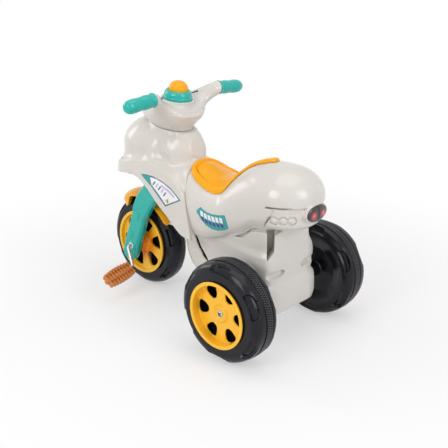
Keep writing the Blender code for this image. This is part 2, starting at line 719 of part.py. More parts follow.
def make_rear_wheel(side, looks):
    word = "left" if side > 0 else "right"
    spin = empty(f"rear_wheel_{word}_axis", REAR_AXLE)
    turned(f"rear_tyre_{word}", rear_tyre_profile(), WHEEL_STEPS, centre=REAR_AXLE, side=side,
           look=looks["tyre"], parent=spin)
    face = REAR_TYRE_INNER_X + REAR_TYRE_WIDTH
    web = face - REAR_WEB_DEPTH + FIT_GAP
    profile = rim_profile(face, REAR_RIM_PROUD, REAR_RIM_RADIUS, web + REAR_HUB_HEIGHT,
                          AXLE_RADIUS + FIT_GAP, web)
    make_rim(f"rear_rim_{word}", profile, REAR_AXLE, REAR_RIM_RADIUS, side, (web - 0.02, face + 0.02),
             0.0, looks["rim"], spin)


def front_tyre_profile():
    half, tread = FRONT_TYRE_HALF_WIDTH, FRONT_WHEEL_RADIUS
    rim, bore = FRONT_RIM_RADIUS + FIT_GAP, CRANK_ROD_RADIUS + FIT_GAP
    web = half - FRONT_WEB_DEPTH
    one_side = [(web, bore), (web, rim), (half, rim), (half, tread - 0.0155), (half - 0.003, tread - 0.0085),
                (half - 0.009, tread - 0.0032), (half - 0.018, tread)]
    return [(-x, r) for x, r in one_side] + [(x, r) for x, r in reversed(one_side)]


def make_front_wheel(looks, spin):
    turned("front_tyre", front_tyre_profile(), WHEEL_STEPS, centre=FRONT_AXLE, look=looks["tyre"],
           parent=spin)
    face = FRONT_TYRE_HALF_WIDTH
    web = face - FRONT_WEB_DEPTH + FIT_GAP
    profile = rim_profile(face, FRONT_RIM_PROUD, FRONT_RIM_RADIUS, FRONT_HUB_X,
                          CRANK_ROD_RADIUS + FIT_GAP, web)
    for word, side in (("left", 1), ("right", -1)):
        make_rim(f"front_rim_{word}", profile, FRONT_AXLE, FRONT_RIM_RADIUS, side,
                 (web - 0.01, face + 0.03), FRONT_WINDOW_TURN, looks["rim"], spin)


# Rear axle with its bushes and caps


def make_rear_axle(looks):
    end = REAR_TYRE_INNER_X + REAR_TYRE_WIDTH - 0.0013
    turned("rear_axle", [(-end, 0.0), (-end, AXLE_RADIUS), (end, AXLE_RADIUS), (end, 0.0)], 16,
           centre=REAR_AXLE, look=looks["steel"])
    seat = REAR_HUB_INNER_X - BUSH_FLANGE + FIT_GAP
    hub = REAR_TYRE_INNER_X + REAR_TYRE_WIDTH - REAR_WEB_DEPTH + REAR_HUB_HEIGHT + 2 * FIT_GAP
    bore = AXLE_RADIUS + FIT_GAP
    for word, side in (("left", 1), ("right", -1)):
        bush = [(seat - 0.030, bore), (seat - 0.030, AXLE_BUSH_RADIUS), (seat, AXLE_BUSH_RADIUS),
                (seat, 0.015), (REAR_HUB_INNER_X - FIT_GAP, 0.015), (REAR_HUB_INNER_X - FIT_GAP, bore)]
        turned(f"axle_bush_{word}", bush, 16, centre=REAR_AXLE, side=side, look=looks["bush"])
        cap = [(hub, bore), (hub, 0.0095), (hub + 0.0014, 0.0095), (hub + 0.0022, 0.0075),
               (end + 0.0022, 0.0068), (end + 0.0036, 0.0040), (end + 0.0036, 0.0),
               (end + FIT_GAP, 0.0), (end + FIT_GAP, bore)]
        turned(f"axle_cap_{word}", cap, 16, centre=REAR_AXLE, side=side, look=looks["steel"])


# Steering: stem, bushes, fork, fender, handlebar, grips and horn


def make_stem(looks, steer):
    floor = HORN_SEAT - STEM_WELL_DEPTH
    stem = [(-0.0057, 0.0), (-0.0057, STEM_RADIUS), (floor - FIT_GAP, STEM_RADIUS),
            (floor - FIT_GAP, STEM_STUB_RADIUS), (HORN_SEAT - 0.009, STEM_STUB_RADIUS),
            (HORN_SEAT - 0.009, 0.0)]
    turned("steering_stem", stem, 16, axis="Z", frame=STEER_FRAME, look=looks["steel"], parent=steer)
    nut_foot = floor + STEM_LEDGE + FIT_GAP
    nut = [(nut_foot, STEM_STUB_RADIUS + FIT_GAP), (nut_foot, 0.011), (nut_foot + 0.008, 0.011),
           (nut_foot + 0.008, STEM_STUB_RADIUS + FIT_GAP)]
    turned("stem_nut", nut, 6, axis="Z", frame=STEER_FRAME, look=looks["steel"], parent=steer)


def make_steering_bushes(looks):
    bore, flange, lip = STEM_RADIUS + FIT_GAP, 0.020, 0.0024
    top = steer_height(FAIRING_TOP_Z) + FIT_GAP
    upper = [(top - 0.030, bore), (top - 0.030, STEM_BUSH_RADIUS), (top, STEM_BUSH_RADIUS),
             (top, flange), (top + lip, flange), (top + lip, bore)]
    turned("steering_bush_upper", upper, 16, axis="Z", frame=STEER_FRAME, look=looks["bush"])
    roof = steer_height(ARCH_AXIS_Z) - FIT_GAP
    lower = [(roof - lip, bore), (roof - lip, flange), (roof, flange), (roof, STEM_BUSH_RADIUS),
             (roof + 0.030, STEM_BUSH_RADIUS), (roof + 0.030, bore)]
    turned("steering_bush_lower", lower, 16, axis="Z", frame=STEER_FRAME, look=looks["bush"])


LEG_LINE = [(-0.015, -0.0247), (0.000, 0.0173), (0.014, 0.0513), (0.028, 0.0853), (0.037, 0.1073),
            (0.057, 0.1393), (0.081, 0.1673)]


def leg_outline():
    """Side outline of a fork leg from its middle line, which starts below the axle."""
    line = [Vector((fore(d), FRONT_AXLE.z + rise)) for d, rise in LEG_LINE]
    ahead, behind = [], []
    for k, point in enumerate(line):
        along = (line[min(k + 1, len(line) - 1)] - line[max(k - 1, 0)]).normalized()
        across = Vector((-along.y, along.x)) * FORK_LEG_HALF_DEPTH
        ahead.append(point + across)
        behind.append(point - across)
    start = line[0]
    turn = math.atan2(behind[0].y - start.y, behind[0].x - start.x)
    foot = []
    for k in range(1, 6):
        angle = turn - math.pi * k / 6
        foot.append(start + FORK_LEG_HALF_DEPTH * Vector((math.cos(angle), math.sin(angle))))
    return [tuple(p) for p in ahead[::-1] + foot[::-1] + behind]


def make_fork(looks, steer):
    low, high = -CROWN_BELOW, CROWN_ABOVE
    deep = CROWN_HALF_DEPTH
    fork = block("fork", (-FORK_LEG_OUTER_X, -deep, low), (FORK_LEG_OUTER_X, deep, high),
                 frame=STEER_FRAME, look=looks["teal"], parent=steer)
    rounded(fork, 0.006)
    for word, side in (("left", 1), ("right", -1)):
        ends = sorted((side * FORK_LEG_INNER_X, side * (FORK_LEG_OUTER_X + 0.0002)))
        leg = prism(f"leg_{word}", leg_outline(), *ends, parent=steer)
        rounded(leg, 0.0045, angle=60)
        join(fork, leg)
    radius = CRANK_BUSH_RADIUS + FIT_GAP
    bore = turned("crank_bore", [(-0.1, 0.0), (-0.1, radius), (0.1, radius), (0.1, 0.0)], 16,
                  centre=FRONT_AXLE)
    cut(fork, bore)
    radius = STEM_RADIUS + FIT_GAP
    socket = turned("stem_socket", [(-0.006, 0.0), (-0.006, radius), (0.06, radius), (0.06, 0.0)], 16,
                    axis="Z", frame=STEER_FRAME)
    cut(fork, socket)
    for k, y in enumerate(SCREW_PLACES):
        cut(fork, screw_bore(f"crown_screw_bore_{k}", y, SCREW_TIP + FIT_GAP))
    return fork


SCREW_RADIUS = 0.002
SCREW_HEAD_RADIUS = 0.004
SCREW_SINK = 0.0035
SCREW_TIP = -0.009          # ends under the stem's socket
SCREW_PLACES = (-0.018, 0.018)


def fender_radius(x):
    """Inside radius of the fender at a distance from the mid-plane."""
    return FENDER_INNER_RADIUS + FENDER_CROWN * (1 - (x / FENDER_HALF_WIDTH) ** 2)


def make_fender(looks, steer):
    """Crowned band round the top of the front wheel with a boss up to the crown."""
    across = [FENDER_HALF_WIDTH * s for s in (-1.0, -0.8, -0.45, 0.0, 0.45, 0.8, 1.0)]
    start, end, count = math.radians(33), math.radians(140), 18
    rings = []
    for k in range(count + 1):
        turn = start + (end - start) * k / count
        narrow = math.sqrt(max(1.0 - 0.985 * max(0.0, (k / count - 0.62) / 0.38) ** 2, 0.0))
        under = [(narrow * x, fender_radius(x)) for x in across]
        over = [(narrow * x, fender_radius(x) + FENDER_THICKNESS) for x in reversed(across)]
        rings.append([(x, FRONT_AXLE.y + r * math.cos(turn), FRONT_AXLE.z + r * math.sin(turn))
                      for x, r in under + over])
    fender = lofted("front_fender", rings, look=looks["orange"], parent=steer)
    top = -CROWN_BELOW - FIT_GAP
    boss = block("fender_boss", (-0.012, -0.026, top - 0.040), (0.012, 0.026, top), frame=STEER_FRAME)
    inside = turned("fender_inside", [(-0.03, 0.0), (-0.03, fender_radius(0.0) + 0.001),
                                      (0.03, fender_radius(0.0) + 0.001), (0.03, 0.0)], 48,
                    centre=FRONT_AXLE)
    cut(boss, inside)
    join(fender, boss)
    for k, y in enumerate(SCREW_PLACES):
        cut(fender, screw_bore(f"fender_screw_bore_{k}", y, 0.0))
    return fender


def screw_bore(name, y, tip):
    """Room for a fender screw, from the wheel's side up to its tip."""
    radius, head = SCREW_RADIUS + FIT_GAP, SCREW_HEAD_RADIUS + FIT_GAP
    seat = screw_seat(y) + FIT_GAP
    profile = [(-0.09, 0.0), (-0.09, head), (seat, head), (seat, radius), (tip, radius), (tip, 0.0)]
    return turned(name, profile, 8, axis="Z",
                  frame=STEER_FRAME @ Matrix.Translation((0.0, y, 0.0)))


def make_fender_screws(looks, steer):
    """Two pan-head screws from under the fender up into the crown."""
    for word, y in zip(("front", "rear"), SCREW_PLACES):
        seat = screw_seat(y)
        profile = [(seat - 0.002, 0.0), (seat - 0.002, 0.8 * SCREW_HEAD_RADIUS),
                   (seat - 0.001, SCREW_HEAD_RADIUS), (seat, SCREW_HEAD_RADIUS),
                   (seat, SCREW_RADIUS), (SCREW_TIP, SCREW_RADIUS), (SCREW_TIP, 0.0)]
        turned(f"fender_screw_{word}", profile, 8, axis="Z",
               frame=STEER_FRAME @ Matrix.Translation((0.0, y, 0.0)), look=looks["steel"], parent=steer)


def screw_seat(y):
    """Height under a screw's head in the steering frame, sunk in the boss over the wheel."""
    place = STEER_FRAME @ Vector((0.0, y, 0.0))
    down = (STEER_FRAME.to_3x3() @ Vector((0.0, 0.0, -1.0))).normalized()
    reach = FRONT_AXLE - place
    along = reach.dot(down)
    across = reach.length_squared - along**2
    return SCREW_SINK - along + math.sqrt(fender_radius(0.0) ** 2 - across)


# Handlebar pod as rings across its width: distance out, middle y behind the front axle, middle z, halves
POD_RINGS = [(0.000, 0.095, 0.517, 1.00, 1.00), (0.020, 0.097, 0.517, 0.98, 1.00),
             (0.040, 0.103, 0.518, 0.87, 0.98), (0.056, 0.111, 0.525, 0.68, 0.88),
             (0.070, 0.121, 0.536, 0.48, 0.74), (0.084, 0.135, 0.549, 0.33, 0.62),
             (0.098, 0.149, 0.561, 0.25, 0.56), (0.1145, 0.158, 0.5685, 0.222, 0.505)]


def grip_height(x):
    """Height of the grips' middle line at a distance from the mid-plane."""
    return GRIP_Z - math.tan(GRIP_DROOP) * (x - GRIP_X[0])


def make_handlebar(looks, steer):
    count = 18
    half = []
    for x, y, z, a, b in POD_RINGS:
        outline = oval(POD_HALF[0] * a, POD_HALF[1] * b, count, (fore(y), z))
        lean = math.tan(GRIP_DROOP) if x == POD_RINGS[-1][0] else 0.0
        half.append([(x + lean * (v - z), u, v) for u, v in outline])
    radius = GRIP_BORE - 0.0005
    for x in (POD_RINGS[-1][0], GRIP_X[1] - 0.0095):
        z = grip_height(x)
        outline = oval(radius, radius, count, (fore(GRIP_Y), z))
        half.append([(x + math.tan(GRIP_DROOP) * (v - z), u, v) for u, v in outline])
    far = [[(-x, u, v) for x, u, v in ring] for ring in half[:0:-1]]
    bar = lofted("handlebar", far + half, look=looks["body"], parent=steer)
    low = steer_height(FAIRING_TOP_Z) + POD_GAP
    under = turned("pod_floor", [(low - 0.05, 0.0), (low - 0.05, 0.13), (low, 0.13), (low, 0.0)], 24,
                   axis="Z", frame=STEER_FRAME)
    cut(bar, under)
    seat = turned("horn_seat", [(HORN_SEAT, 0.0), (HORN_SEAT, HORN_RADIUS + FIT_GAP),
                                (HORN_SEAT + 0.05, HORN_RADIUS + FIT_GAP), (HORN_SEAT + 0.05, 0.0)], 32,
                  axis="Z", frame=STEER_FRAME)
    cut(bar, seat)
    floor = HORN_SEAT - STEM_WELL_DEPTH
    radius, stub_radius = STEM_RADIUS + FIT_GAP, STEM_STUB_RADIUS + FIT_GAP
    well = [(low - 0.06, 0.0), (low - 0.06, radius), (floor, radius), (floor, stub_radius),
            (floor + STEM_LEDGE, stub_radius), (floor + STEM_LEDGE, 0.016), (HORN_SEAT + 0.01, 0.016),
            (HORN_SEAT + 0.01, 0.0)]
    cut(bar, turned("stem_well", well, 16, axis="Z", frame=STEER_FRAME))
    return bar


def make_grip(side, looks, steer):
    word = "left" if side > 0 else "right"
    radius = GRIP_RADIUS
    end = GRIP_X[1] - GRIP_X[0]
    profile = [(0.0, GRIP_BORE), (0.0, radius + 0.0008), (0.004, radius + 0.0008),
               (0.006, radius - 0.0012), (0.022, radius + 0.0003), (0.040, radius - 0.0010),
               (0.058, radius + 0.0003), (end - 0.014, radius - 0.0004), (end - 0.006, radius - 0.0050),
               (end - 0.0015, radius - 0.0110), (end, 0.0), (end - 0.0072, 0.0),
               (end - 0.0072, GRIP_BORE)]
    place = Matrix.Translation((side * GRIP_X[0], fore(GRIP_Y), GRIP_Z))
    frame = place @ Matrix.Rotation(side * GRIP_DROOP, 4, "Y")
    turned(f"grip_{word}", profile, 20, side=side, frame=frame, look=looks["teal"], parent=steer)


def make_horn(looks, steer):
    seat = HORN_SEAT + FIT_GAP
    top = HORN_SEAT + HORN_HEIGHT
    inner = BUTTON_RADIUS + 0.0006
    base = [(seat, 0.0), (seat, HORN_RADIUS - 0.0006), (seat + 0.009, HORN_RADIUS),
            (seat + 0.017, HORN_RADIUS - 0.0015), (top - 0.002, HORN_RADIUS - 0.0065),
            (top, inner + 0.003), (top - 0.001, inner), (seat + HORN_FLOOR, inner),
            (seat + HORN_FLOOR, 0.0)]
    turned("horn_base", base, 28, axis="Z", frame=STEER_FRAME, look=looks["teal"], parent=steer)
    press = empty("horn_press_axis", STEER_FRAME @ Vector((0.0, 0.0, HORN_SEAT)), parent=steer,
                  turn=(-STEER_TILT, 0.0, 0.0))
    foot = HORN_SEAT + 0.012
    boss = HORN_SEAT + 0.024
    tip = top + 0.0235
    button = [(foot, BUTTON_RADIUS - 0.0035), (foot, BUTTON_RADIUS), (top + 0.001, BUTTON_RADIUS)]
    for angle in (18, 38, 58, 76):
        turn = math.radians(angle)
        button.append((top + 0.001 + (tip - top - 0.001) * math.sin(turn), BUTTON_RADIUS * math.cos(turn)))
    button += [(tip, 0.0), (boss, 0.0), (boss, 0.012), (tip - 0.010, 0.013),
               (top - 0.002, BUTTON_RADIUS - 0.0035)]
    turned("horn_button", button, 28, axis="Z", frame=STEER_FRAME, look=looks["orange"], parent=press)
    make_horn_spring(seat + HORN_FLOOR + FIT_GAP, boss - FIT_GAP, looks, steer)


def make_horn_spring(foot, top, looks, steer):
    """Coil between the horn base's floor and the button, as one tube."""
    points_a_turn = 10
    count = SPRING_TURNS * points_a_turn
    rise = top - foot - 2 * SPRING_WIRE
    data = bpy.data.curves.new("horn_spring", "CURVE")
    data.dimensions = "3D"
    data.bevel_depth = SPRING_WIRE
    data.bevel_resolution = 1
    data.use_fill_caps = True
    line = data.splines.new("POLY")
    line.points.add(count)
    for k in range(count + 1):
        turn = 2 * math.pi * k / points_a_turn
        height = foot + SPRING_WIRE + rise * k / count
        on_coil = Vector((SPRING_RADIUS * math.cos(turn), SPRING_RADIUS * math.sin(turn), height))
        place = STEER_FRAME @ on_coil
        line.points[k].co = (*place, 1.0)
    data.materials.append(looks["steel"])
    spring = bpy.data.objects.new("horn_spring", data)
    bpy.context.collection.objects.link(spring)
    spring.parent = steer
    spring.matrix_parent_inverse = steer.matrix_world.inverted()


# Crank and pedals


def crank_end(side):
    """Where a crank meets its pedal's pin."""
    reach = Vector((0.0, math.cos(CRANK_ANGLE), math.sin(CRANK_ANGLE))) * CRANK_LENGTH
    return FRONT_AXLE + side * (reach + Vector((CRANK_ARM_X[1], 0.0, 0.0)))


def pin_direction(side):
    """Direction of a pedal's pin, outwards from the fork."""
    away = Vector((0.0, math.cos(CRANK_ANGLE), math.sin(CRANK_ANGLE)))
    return side * (math.cos(PIN_SPLAY) * Vector((1.0, 0.0, 0.0)) + math.sin(PIN_SPLAY) * away)


def pin_frame(side):
    """Frame on the pin's line where the crank meets it: X outwards along the pin for either side."""
    out = pin_direction(side)
    up = Vector((0.0, -math.sin(PEDAL_PITCH), math.cos(PEDAL_PITCH)))
    back = up.cross(out).normalized()
    up = out.cross(back)
    frame = Matrix((out, back, up)).transposed().to_4x4()
    return Matrix.Translation(crank_end(side)) @ frame


def rounded_path(corners, radius, steps=3):
    """Points along straight runs with each inner corner replaced by an arc."""
    path = [corners[0]]
    for before, corner, after in zip(corners, corners[1:], corners[2:]):
        a, b = (before - corner).normalized(), (after - corner).normalized()
        start, end = corner + a * radius, corner + b * radius
        for k in range(steps + 1):
            t = k / steps
            path.append(start * (1 - t) ** 2 + corner * 2 * t * (1 - t) + end * t * t)
    return path + [corners[-1]]


def make_crank(looks, spin):
    """Steel rod: across the fork, out, along both cranks and out again through the pedals."""
    reach = PEDAL_INNER_X - CRANK_ARM_X[1] + PEDAL_WIDTH + 0.004
    shift = Vector((CRANK_ARM_X[0], 0.0, 0.0))
    left, right = crank_end(1), crank_end(-1)
    corners = [left + pin_direction(1) * reach, left, FRONT_AXLE + shift, FRONT_AXLE - shift, right,
               right + pin_direction(-1) * reach]
    path = rounded_path(corners, CRANK_BEND)
    sides = 12
    flat = Vector((0.0, -math.sin(CRANK_ANGLE), math.cos(CRANK_ANGLE)))
    rings = []
    for k, point in enumerate(path):
        along = (path[min(k + 1, len(path) - 1)] - path[max(k - 1, 0)]).normalized()
        over = along.cross(flat).normalized()
        rings.append([point + CRANK_ROD_RADIUS * (math.cos(t) * flat + math.sin(t) * over)
                      for t in (2 * math.pi * n / sides for n in range(sides))])
    return lofted("crank_axle", rings, look=looks["steel"], parent=spin)


def make_crank_bushes(looks, steer):
    bore = CRANK_ROD_RADIUS + FIT_GAP
    inner, outer = FORK_LEG_INNER_X, FORK_LEG_OUTER_X
    for word, side in (("left", 1), ("right", -1)):
        bush = [(FRONT_HUB_X + FIT_GAP, bore), (FRONT_HUB_X + FIT_GAP, 0.014), (inner - FIT_GAP, 0.014),
                (inner - FIT_GAP, CRANK_BUSH_RADIUS), (outer + 0.002, CRANK_BUSH_RADIUS),
                (outer + 0.002, bore)]
        turned(f"crank_bush_{word}", bush, 16, centre=FRONT_AXLE, side=side, look=looks["bush"],
               parent=steer)


def make_pedal(side, looks, spin):
    """Ribbed block on the crank's pin, pitched as the foot left it."""
    word = "left" if side > 0 else "right"
    frame = pin_frame(side)
    start = PEDAL_INNER_X - CRANK_ARM_X[1]
    end = start + PEDAL_WIDTH
    middle = frame @ Vector((0.5 * (start + end), 0.0, 0.0))
    axis = empty(f"pedal_{word}_axis", middle, parent=spin)
    half, thick = PEDAL_DEPTH / 2, PEDAL_THICKNESS / 2
    rib_width, bulge = 0.0052, 0.003
    pitch = (PEDAL_WIDTH - rib_width) / (PEDAL_RIBS - 1)

    def slab(name, x0, x1, deep, high, **kind):
        return block(name, (x0, -deep, -high), (x1, deep, high), frame=frame, **kind)

    pedal = slab(f"pedal_{word}", start + 0.0004, end - 0.0004, half - 0.004, thick - 0.005,
                 look=looks["pedal"], parent=axis)
    for k in range(PEDAL_RIBS):
        x0 = start + k * pitch
        swell = bulge * math.sin(math.pi * (k + 0.5) / PEDAL_RIBS)
        join(pedal, slab(f"pedal_{word}_rib_{k}", x0, x0 + rib_width, half - bulge + swell, thick))
    barrel = [(start, 0.0), (start, thick + 0.001), (end, thick + 0.001), (end, 0.0)]
    join(pedal, turned(f"pedal_{word}_barrel", barrel, 12, frame=frame))
    radius = CRANK_ROD_RADIUS + FIT_GAP
    bore = [(start - 0.01, 0.0), (start - 0.01, radius), (end + 0.01, radius), (end + 0.01, 0.0)]
    cut(pedal, turned(f"pedal_{word}_bore", bore, 12, frame=frame))
    tip = end + 0.004
    cap = [(end + FIT_GAP, radius), (end + FIT_GAP, 0.0078), (end + 0.0018, 0.0078),
           (tip + 0.0012, 0.0060), (tip + 0.0020, 0.0030), (tip + 0.0020, 0.0), (tip + FIT_GAP, 0.0),
           (tip + FIT_GAP, radius)]
    turned(f"pedal_cap_{word}", cap, 16, frame=frame, look=looks["steel"], parent=spin)


def main():
    for old in list(bpy.data.objects):
        bpy.data.objects.remove(old)
    looks = {
        "body": material("ivory_plastic", (0.700, 0.665, 0.605), 0.28),
        "orange": material("orange_plastic", (0.930, 0.400, 0.030), 0.35),
        "teal": material("teal_plastic", (0.010, 0.440, 0.380), 0.30),
        "rim": material("yellow_plastic", (0.930, 0.560, 0.070), 0.35),
        "tyre": material("black_plastic", (0.022, 0.023, 0.034), 0.40),
        "pedal": material("brown_plastic", (0.560, 0.190, 0.045), 0.45),
        "steel": material("zinc_steel", (0.600, 0.600, 0.580), 0.30, 1.0),
        "bush": material("white_nylon", (0.800, 0.790, 0.760), 0.40),
        "lamp": material("lamp_black", (0.050, 0.010, 0.012), 0.15),
    }
    make_main_body(looks["body"])
    make_front_fairing(looks["body"])
    make_seat(looks["orange"])
    for side in (1, -1):
        make_tail_light(side, looks["lamp"])
        make_rear_wheel(side, looks)
    make_rear_axle(looks)
    make_steering_bushes(looks)
    steer = empty("steering_axis", CROWN_POINT, turn=(-STEER_TILT, 0.0, 0.0))
    make_stem(looks, steer)
    make_fork(looks, steer)
    make_fender(looks, steer)
    make_fender_screws(looks, steer)
    make_handlebar(looks, steer)
    make_horn(looks, steer)
    make_crank_bushes(looks, steer)
    spin = empty("front_wheel_axis", FRONT_AXLE, parent=steer)
    make_front_wheel(looks, spin)
    make_crank(looks, spin)
    for side in (1, -1):
        make_grip(side, looks, steer)
        make_pedal(side, looks, spin)


main()
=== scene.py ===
import math

import bpy
import numpy as np
from mathutils import Matrix, Vector
from mathutils.bvhtree import BVHTree
from mathutils.geometry import delaunay_2d_cdt


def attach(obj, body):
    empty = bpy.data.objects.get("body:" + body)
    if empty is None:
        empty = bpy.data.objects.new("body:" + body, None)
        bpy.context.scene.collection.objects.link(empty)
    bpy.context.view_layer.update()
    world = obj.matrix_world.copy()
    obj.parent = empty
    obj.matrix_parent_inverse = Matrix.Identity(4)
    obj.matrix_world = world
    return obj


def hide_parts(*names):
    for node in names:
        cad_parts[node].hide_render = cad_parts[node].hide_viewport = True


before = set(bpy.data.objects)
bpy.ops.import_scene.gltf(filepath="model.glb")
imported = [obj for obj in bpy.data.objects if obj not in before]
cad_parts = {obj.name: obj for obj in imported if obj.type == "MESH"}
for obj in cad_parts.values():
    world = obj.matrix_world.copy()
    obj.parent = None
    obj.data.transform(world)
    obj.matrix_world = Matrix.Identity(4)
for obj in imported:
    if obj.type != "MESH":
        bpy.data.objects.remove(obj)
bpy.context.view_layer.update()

# Places shared with the solids, in metres
REAR_Y, FRONT_Y = 0.2365, -0.2328
REAR_AXLE = Vector((0.0, REAR_Y, 0.125))
FRONT_AXLE = Vector((0.0, FRONT_Y, 0.1287))
STEER_TILT = math.radians(8.3)
COS_TILT, SIN_TILT = math.cos(STEER_TILT), math.sin(STEER_TILT)
CROWN = Vector((0.0, FRONT_Y + 0.0893, 0.31))
STEER = Matrix.Translation(CROWN) @ Matrix.Rotation(-STEER_TILT, 4, "X")
STEER_UP = STEER @ Matrix.Rotation(math.radians(-90), 4, "Y")    # X runs up the steering axis
COLLAR = (0.479 - CROWN.z) / COS_TILT                            # where the handlebar meets the fairing
TAIL_CENTRE = 0.018
LAMP_FACE, LAMP_HEIGHT = 0.1125, 0.347
BORE = 0.0093            # radius of each bore for the stem or a bush
SCREW_BORE = 0.0023
SPLIT_GAP = 0.00015    # from the split plane to the fairing and to the body
FENDER_SCREWS = (-0.018, 0.018)
SIDES = {"left": 1, "right": -1}


def fine(full):
    return full


# Curves


def mm(points):
    return [(a / 1000, b / 1000) for a, b in points]


def curve(points, at):
    """Value on a smooth line through the points that doesn't swing past them."""
    if at <= points[0][0]:
        return points[0][1]
    if at >= points[-1][0]:
        return points[-1][1]
    i = max(k for k in range(len(points) - 1) if points[k][0] <= at)

    def slope(k):
        return (points[k + 1][1] - points[k][1]) / (points[k + 1][0] - points[k][0])

    def tangent(k):
        if k == 0 or k == len(points) - 1:
            return slope(min(k, len(points) - 2))
        a, b = slope(k - 1), slope(k)
        return 0.0 if a * b <= 0 else 2 * a * b / (a + b)

    step = points[i + 1][0] - points[i][0]
    t = (at - points[i][0]) / step
    return (points[i][1] * (1 + 2 * t) * (1 - t) ** 2 + points[i + 1][1] * t * t * (3 - 2 * t)
            + step * (tangent(i) * t * (1 - t) ** 2 - tangent(i + 1) * t * t * (1 - t)))


def along(thousandths, count=600):
    """Smooth line through points given in thousandths, as a function of whole arrays."""
    points = mm(thousandths)
    places = np.linspace(points[0][0], points[-1][0], count)
    values = np.array([curve(points, p) for p in places])
    return lambda at: np.interp(at, places, values)


def arc(start, corner, end, count):
    """Points of a bend that leaves and arrives along the two sides of a corner."""
    shares = [n / count for n in range(count + 1)]
    return [start * (1 - t) ** 2 + corner * 2 * t * (1 - t) + end * t * t for t in shares]


def softened(profile, radius, closed=True, parts=3):
    """A profile whose corners are replaced by small arcs."""
    made = []
    count = len(profile)
    for k, corner in enumerate(profile):
        c = Vector(corner)
        a, b = Vector(profile[k - 1]) - c, Vector(profile[(k + 1) % count]) - c
        size = radius[k] if isinstance(radius, (list, tuple)) else radius
        size = min(size, 0.45 * a.length, 0.45 * b.length)
        is_end = not closed and k in (0, count - 1)
        if is_end or size < 1e-5 or abs(a.angle(b, math.pi) - math.pi) < 0.06:
            made.append(corner)
        else:
            made += [tuple(p) for p in arc(c + a.normalized() * size, c, c + b.normalized() * size, parts)]
    return made


def stepped(a, b, pitch, rounded):
    """Evenly spaced points from a to just before b."""
    count = max(1, int(rounded(math.hypot(b[0] - a[0], b[1] - a[1]) / pitch)))
    return [(a[0] + (b[0] - a[0]) * n / count, a[1] + (b[1] - a[1]) * n / count) for n in range(count)]


def thick_profile(points, step, fine_from):
    """A profile with points added along its runs, closely beyond a radius and sparsely within it."""
    made = []
    for a, b in zip(points, points[1:] + points[:1]):
        pitch = step if max(a[1], b[1]) > fine_from else 8 * step
        made += stepped(a, b, pitch, math.ceil)
    return made


def travel_along(line):
    """Length along a line to each of its points."""
    return np.concatenate([[0.0], np.cumsum(np.linalg.norm(np.diff(line, axis=0), axis=1))])


# Implicit surfaces: a shape's value is negative inside and close to the distance outside


def smin(a, b, k):
    h = np.maximum(k - np.abs(a - b), 0.0)
    return np.minimum(a, b) - h * h / (4 * k)


def smax(a, b, k):
    return -smin(-a, -b, k)


def overlap(first, *others):
    """What lies inside all of the shapes."""
    for other in others:
        first = np.maximum(first, other)
    return first


def slab(value, half):
    return np.abs(value) - half


def smooth_step(t):
    t = np.clip(t, 0.0, 1.0)
    return t * t * (3 - 2 * t)


def oval(u, v, a, b):
    """Size of the oval of half widths a and b through a place, 1 on the oval itself."""
    return np.sqrt((u / a) ** 2 + (v / b) ** 2)


def hump(value, middle, wide):
    return np.exp(-((value - middle) / wide) ** 2)


def nearest(u, v, a, b):
    """Distance of places in a plane to the line from a to b, and the share of the line reached."""
    du, dv = b[0] - a[0], b[1] - a[1]
    t = np.clip(((u - a[0]) * du + (v - a[1]) * dv) / (du * du + dv * dv), 0.0, 1.0)
    return np.hypot(u - a[0] - t * du, v - a[1] - t * dv), t


def to_line(u, v, points):
    """Distance of places in a plane to a line through points, and how far along it is the nearest."""
    best = np.full(np.shape(u), 1e9)
    share = np.zeros(np.shape(u))
    for k, (a, b) in enumerate(zip(points, points[1:])):
        away, t = nearest(u, v, a, b)
        share = np.where(away < best, (k + t) / (len(points) - 1), share)
        best = np.minimum(best, away)
    return best, share


def to_outline(u, v, points):
    """Signed distance of places in a plane to a closed outline, negative inside."""
    best = np.full(np.shape(u), 1e9)
    inside = np.zeros(np.shape(u), dtype=bool)
    for a, b in zip(points, points[1:] + points[:1]):
        best = np.minimum(best, nearest(u, v, a, b)[0])
        if a[1] != b[1]:
            crosses = (a[1] > v) != (b[1] > v)
            inside ^= crosses & (u < a[0] + (v - a[1]) * (b[0] - a[0]) / (b[1] - a[1]))
    return np.where(inside, -best, best)


def beside(u, v, a, b):
    """Distance outside the line from a to b, whose inside is on its left."""
    du, dv = b[0] - a[0], b[1] - a[1]
    size = np.sqrt(du * du + dv * dv) + 1e-9
    return ((u - a[0]) * dv - (v - a[1]) * du) / size


def layers(axis):
    """Slices of a grid without its last and without its first layer along an axis."""
    early, late = [slice(None)] * 3, [slice(None)] * 3
    early[axis], late[axis] = slice(None, -1), slice(1, None)
    return tuple(early), tuple(late)


def sampled(shape, low, high, step, block=4):
    """A shape's values on a grid in a box, with one value for a whole block away from the surface."""
    cell = step * block
    count = np.ceil((np.array(high) - low) / cell).astype(int)
    middles = [low[i] + cell * (np.arange(count[i]) + 0.5) for i in range(3)]
    values = shape(*np.meshgrid(*middles, indexing="ij"))
    near = np.abs(values) < 1.5 * cell
    for axis in range(3):
        early, late = layers(axis)
        grown = near.copy()
        grown[late] |= near[early]
        grown[early] |= near[late]
        near = grown
    for axis in range(3):
        values = np.repeat(values, block, axis=axis)
        near = np.repeat(near, block, axis=axis)
    near[:-1] |= near[1:]
    spot = np.nonzero(near)
    values[spot] = shape(*[low[i] + step * spot[i] for i in range(3)])
    return values


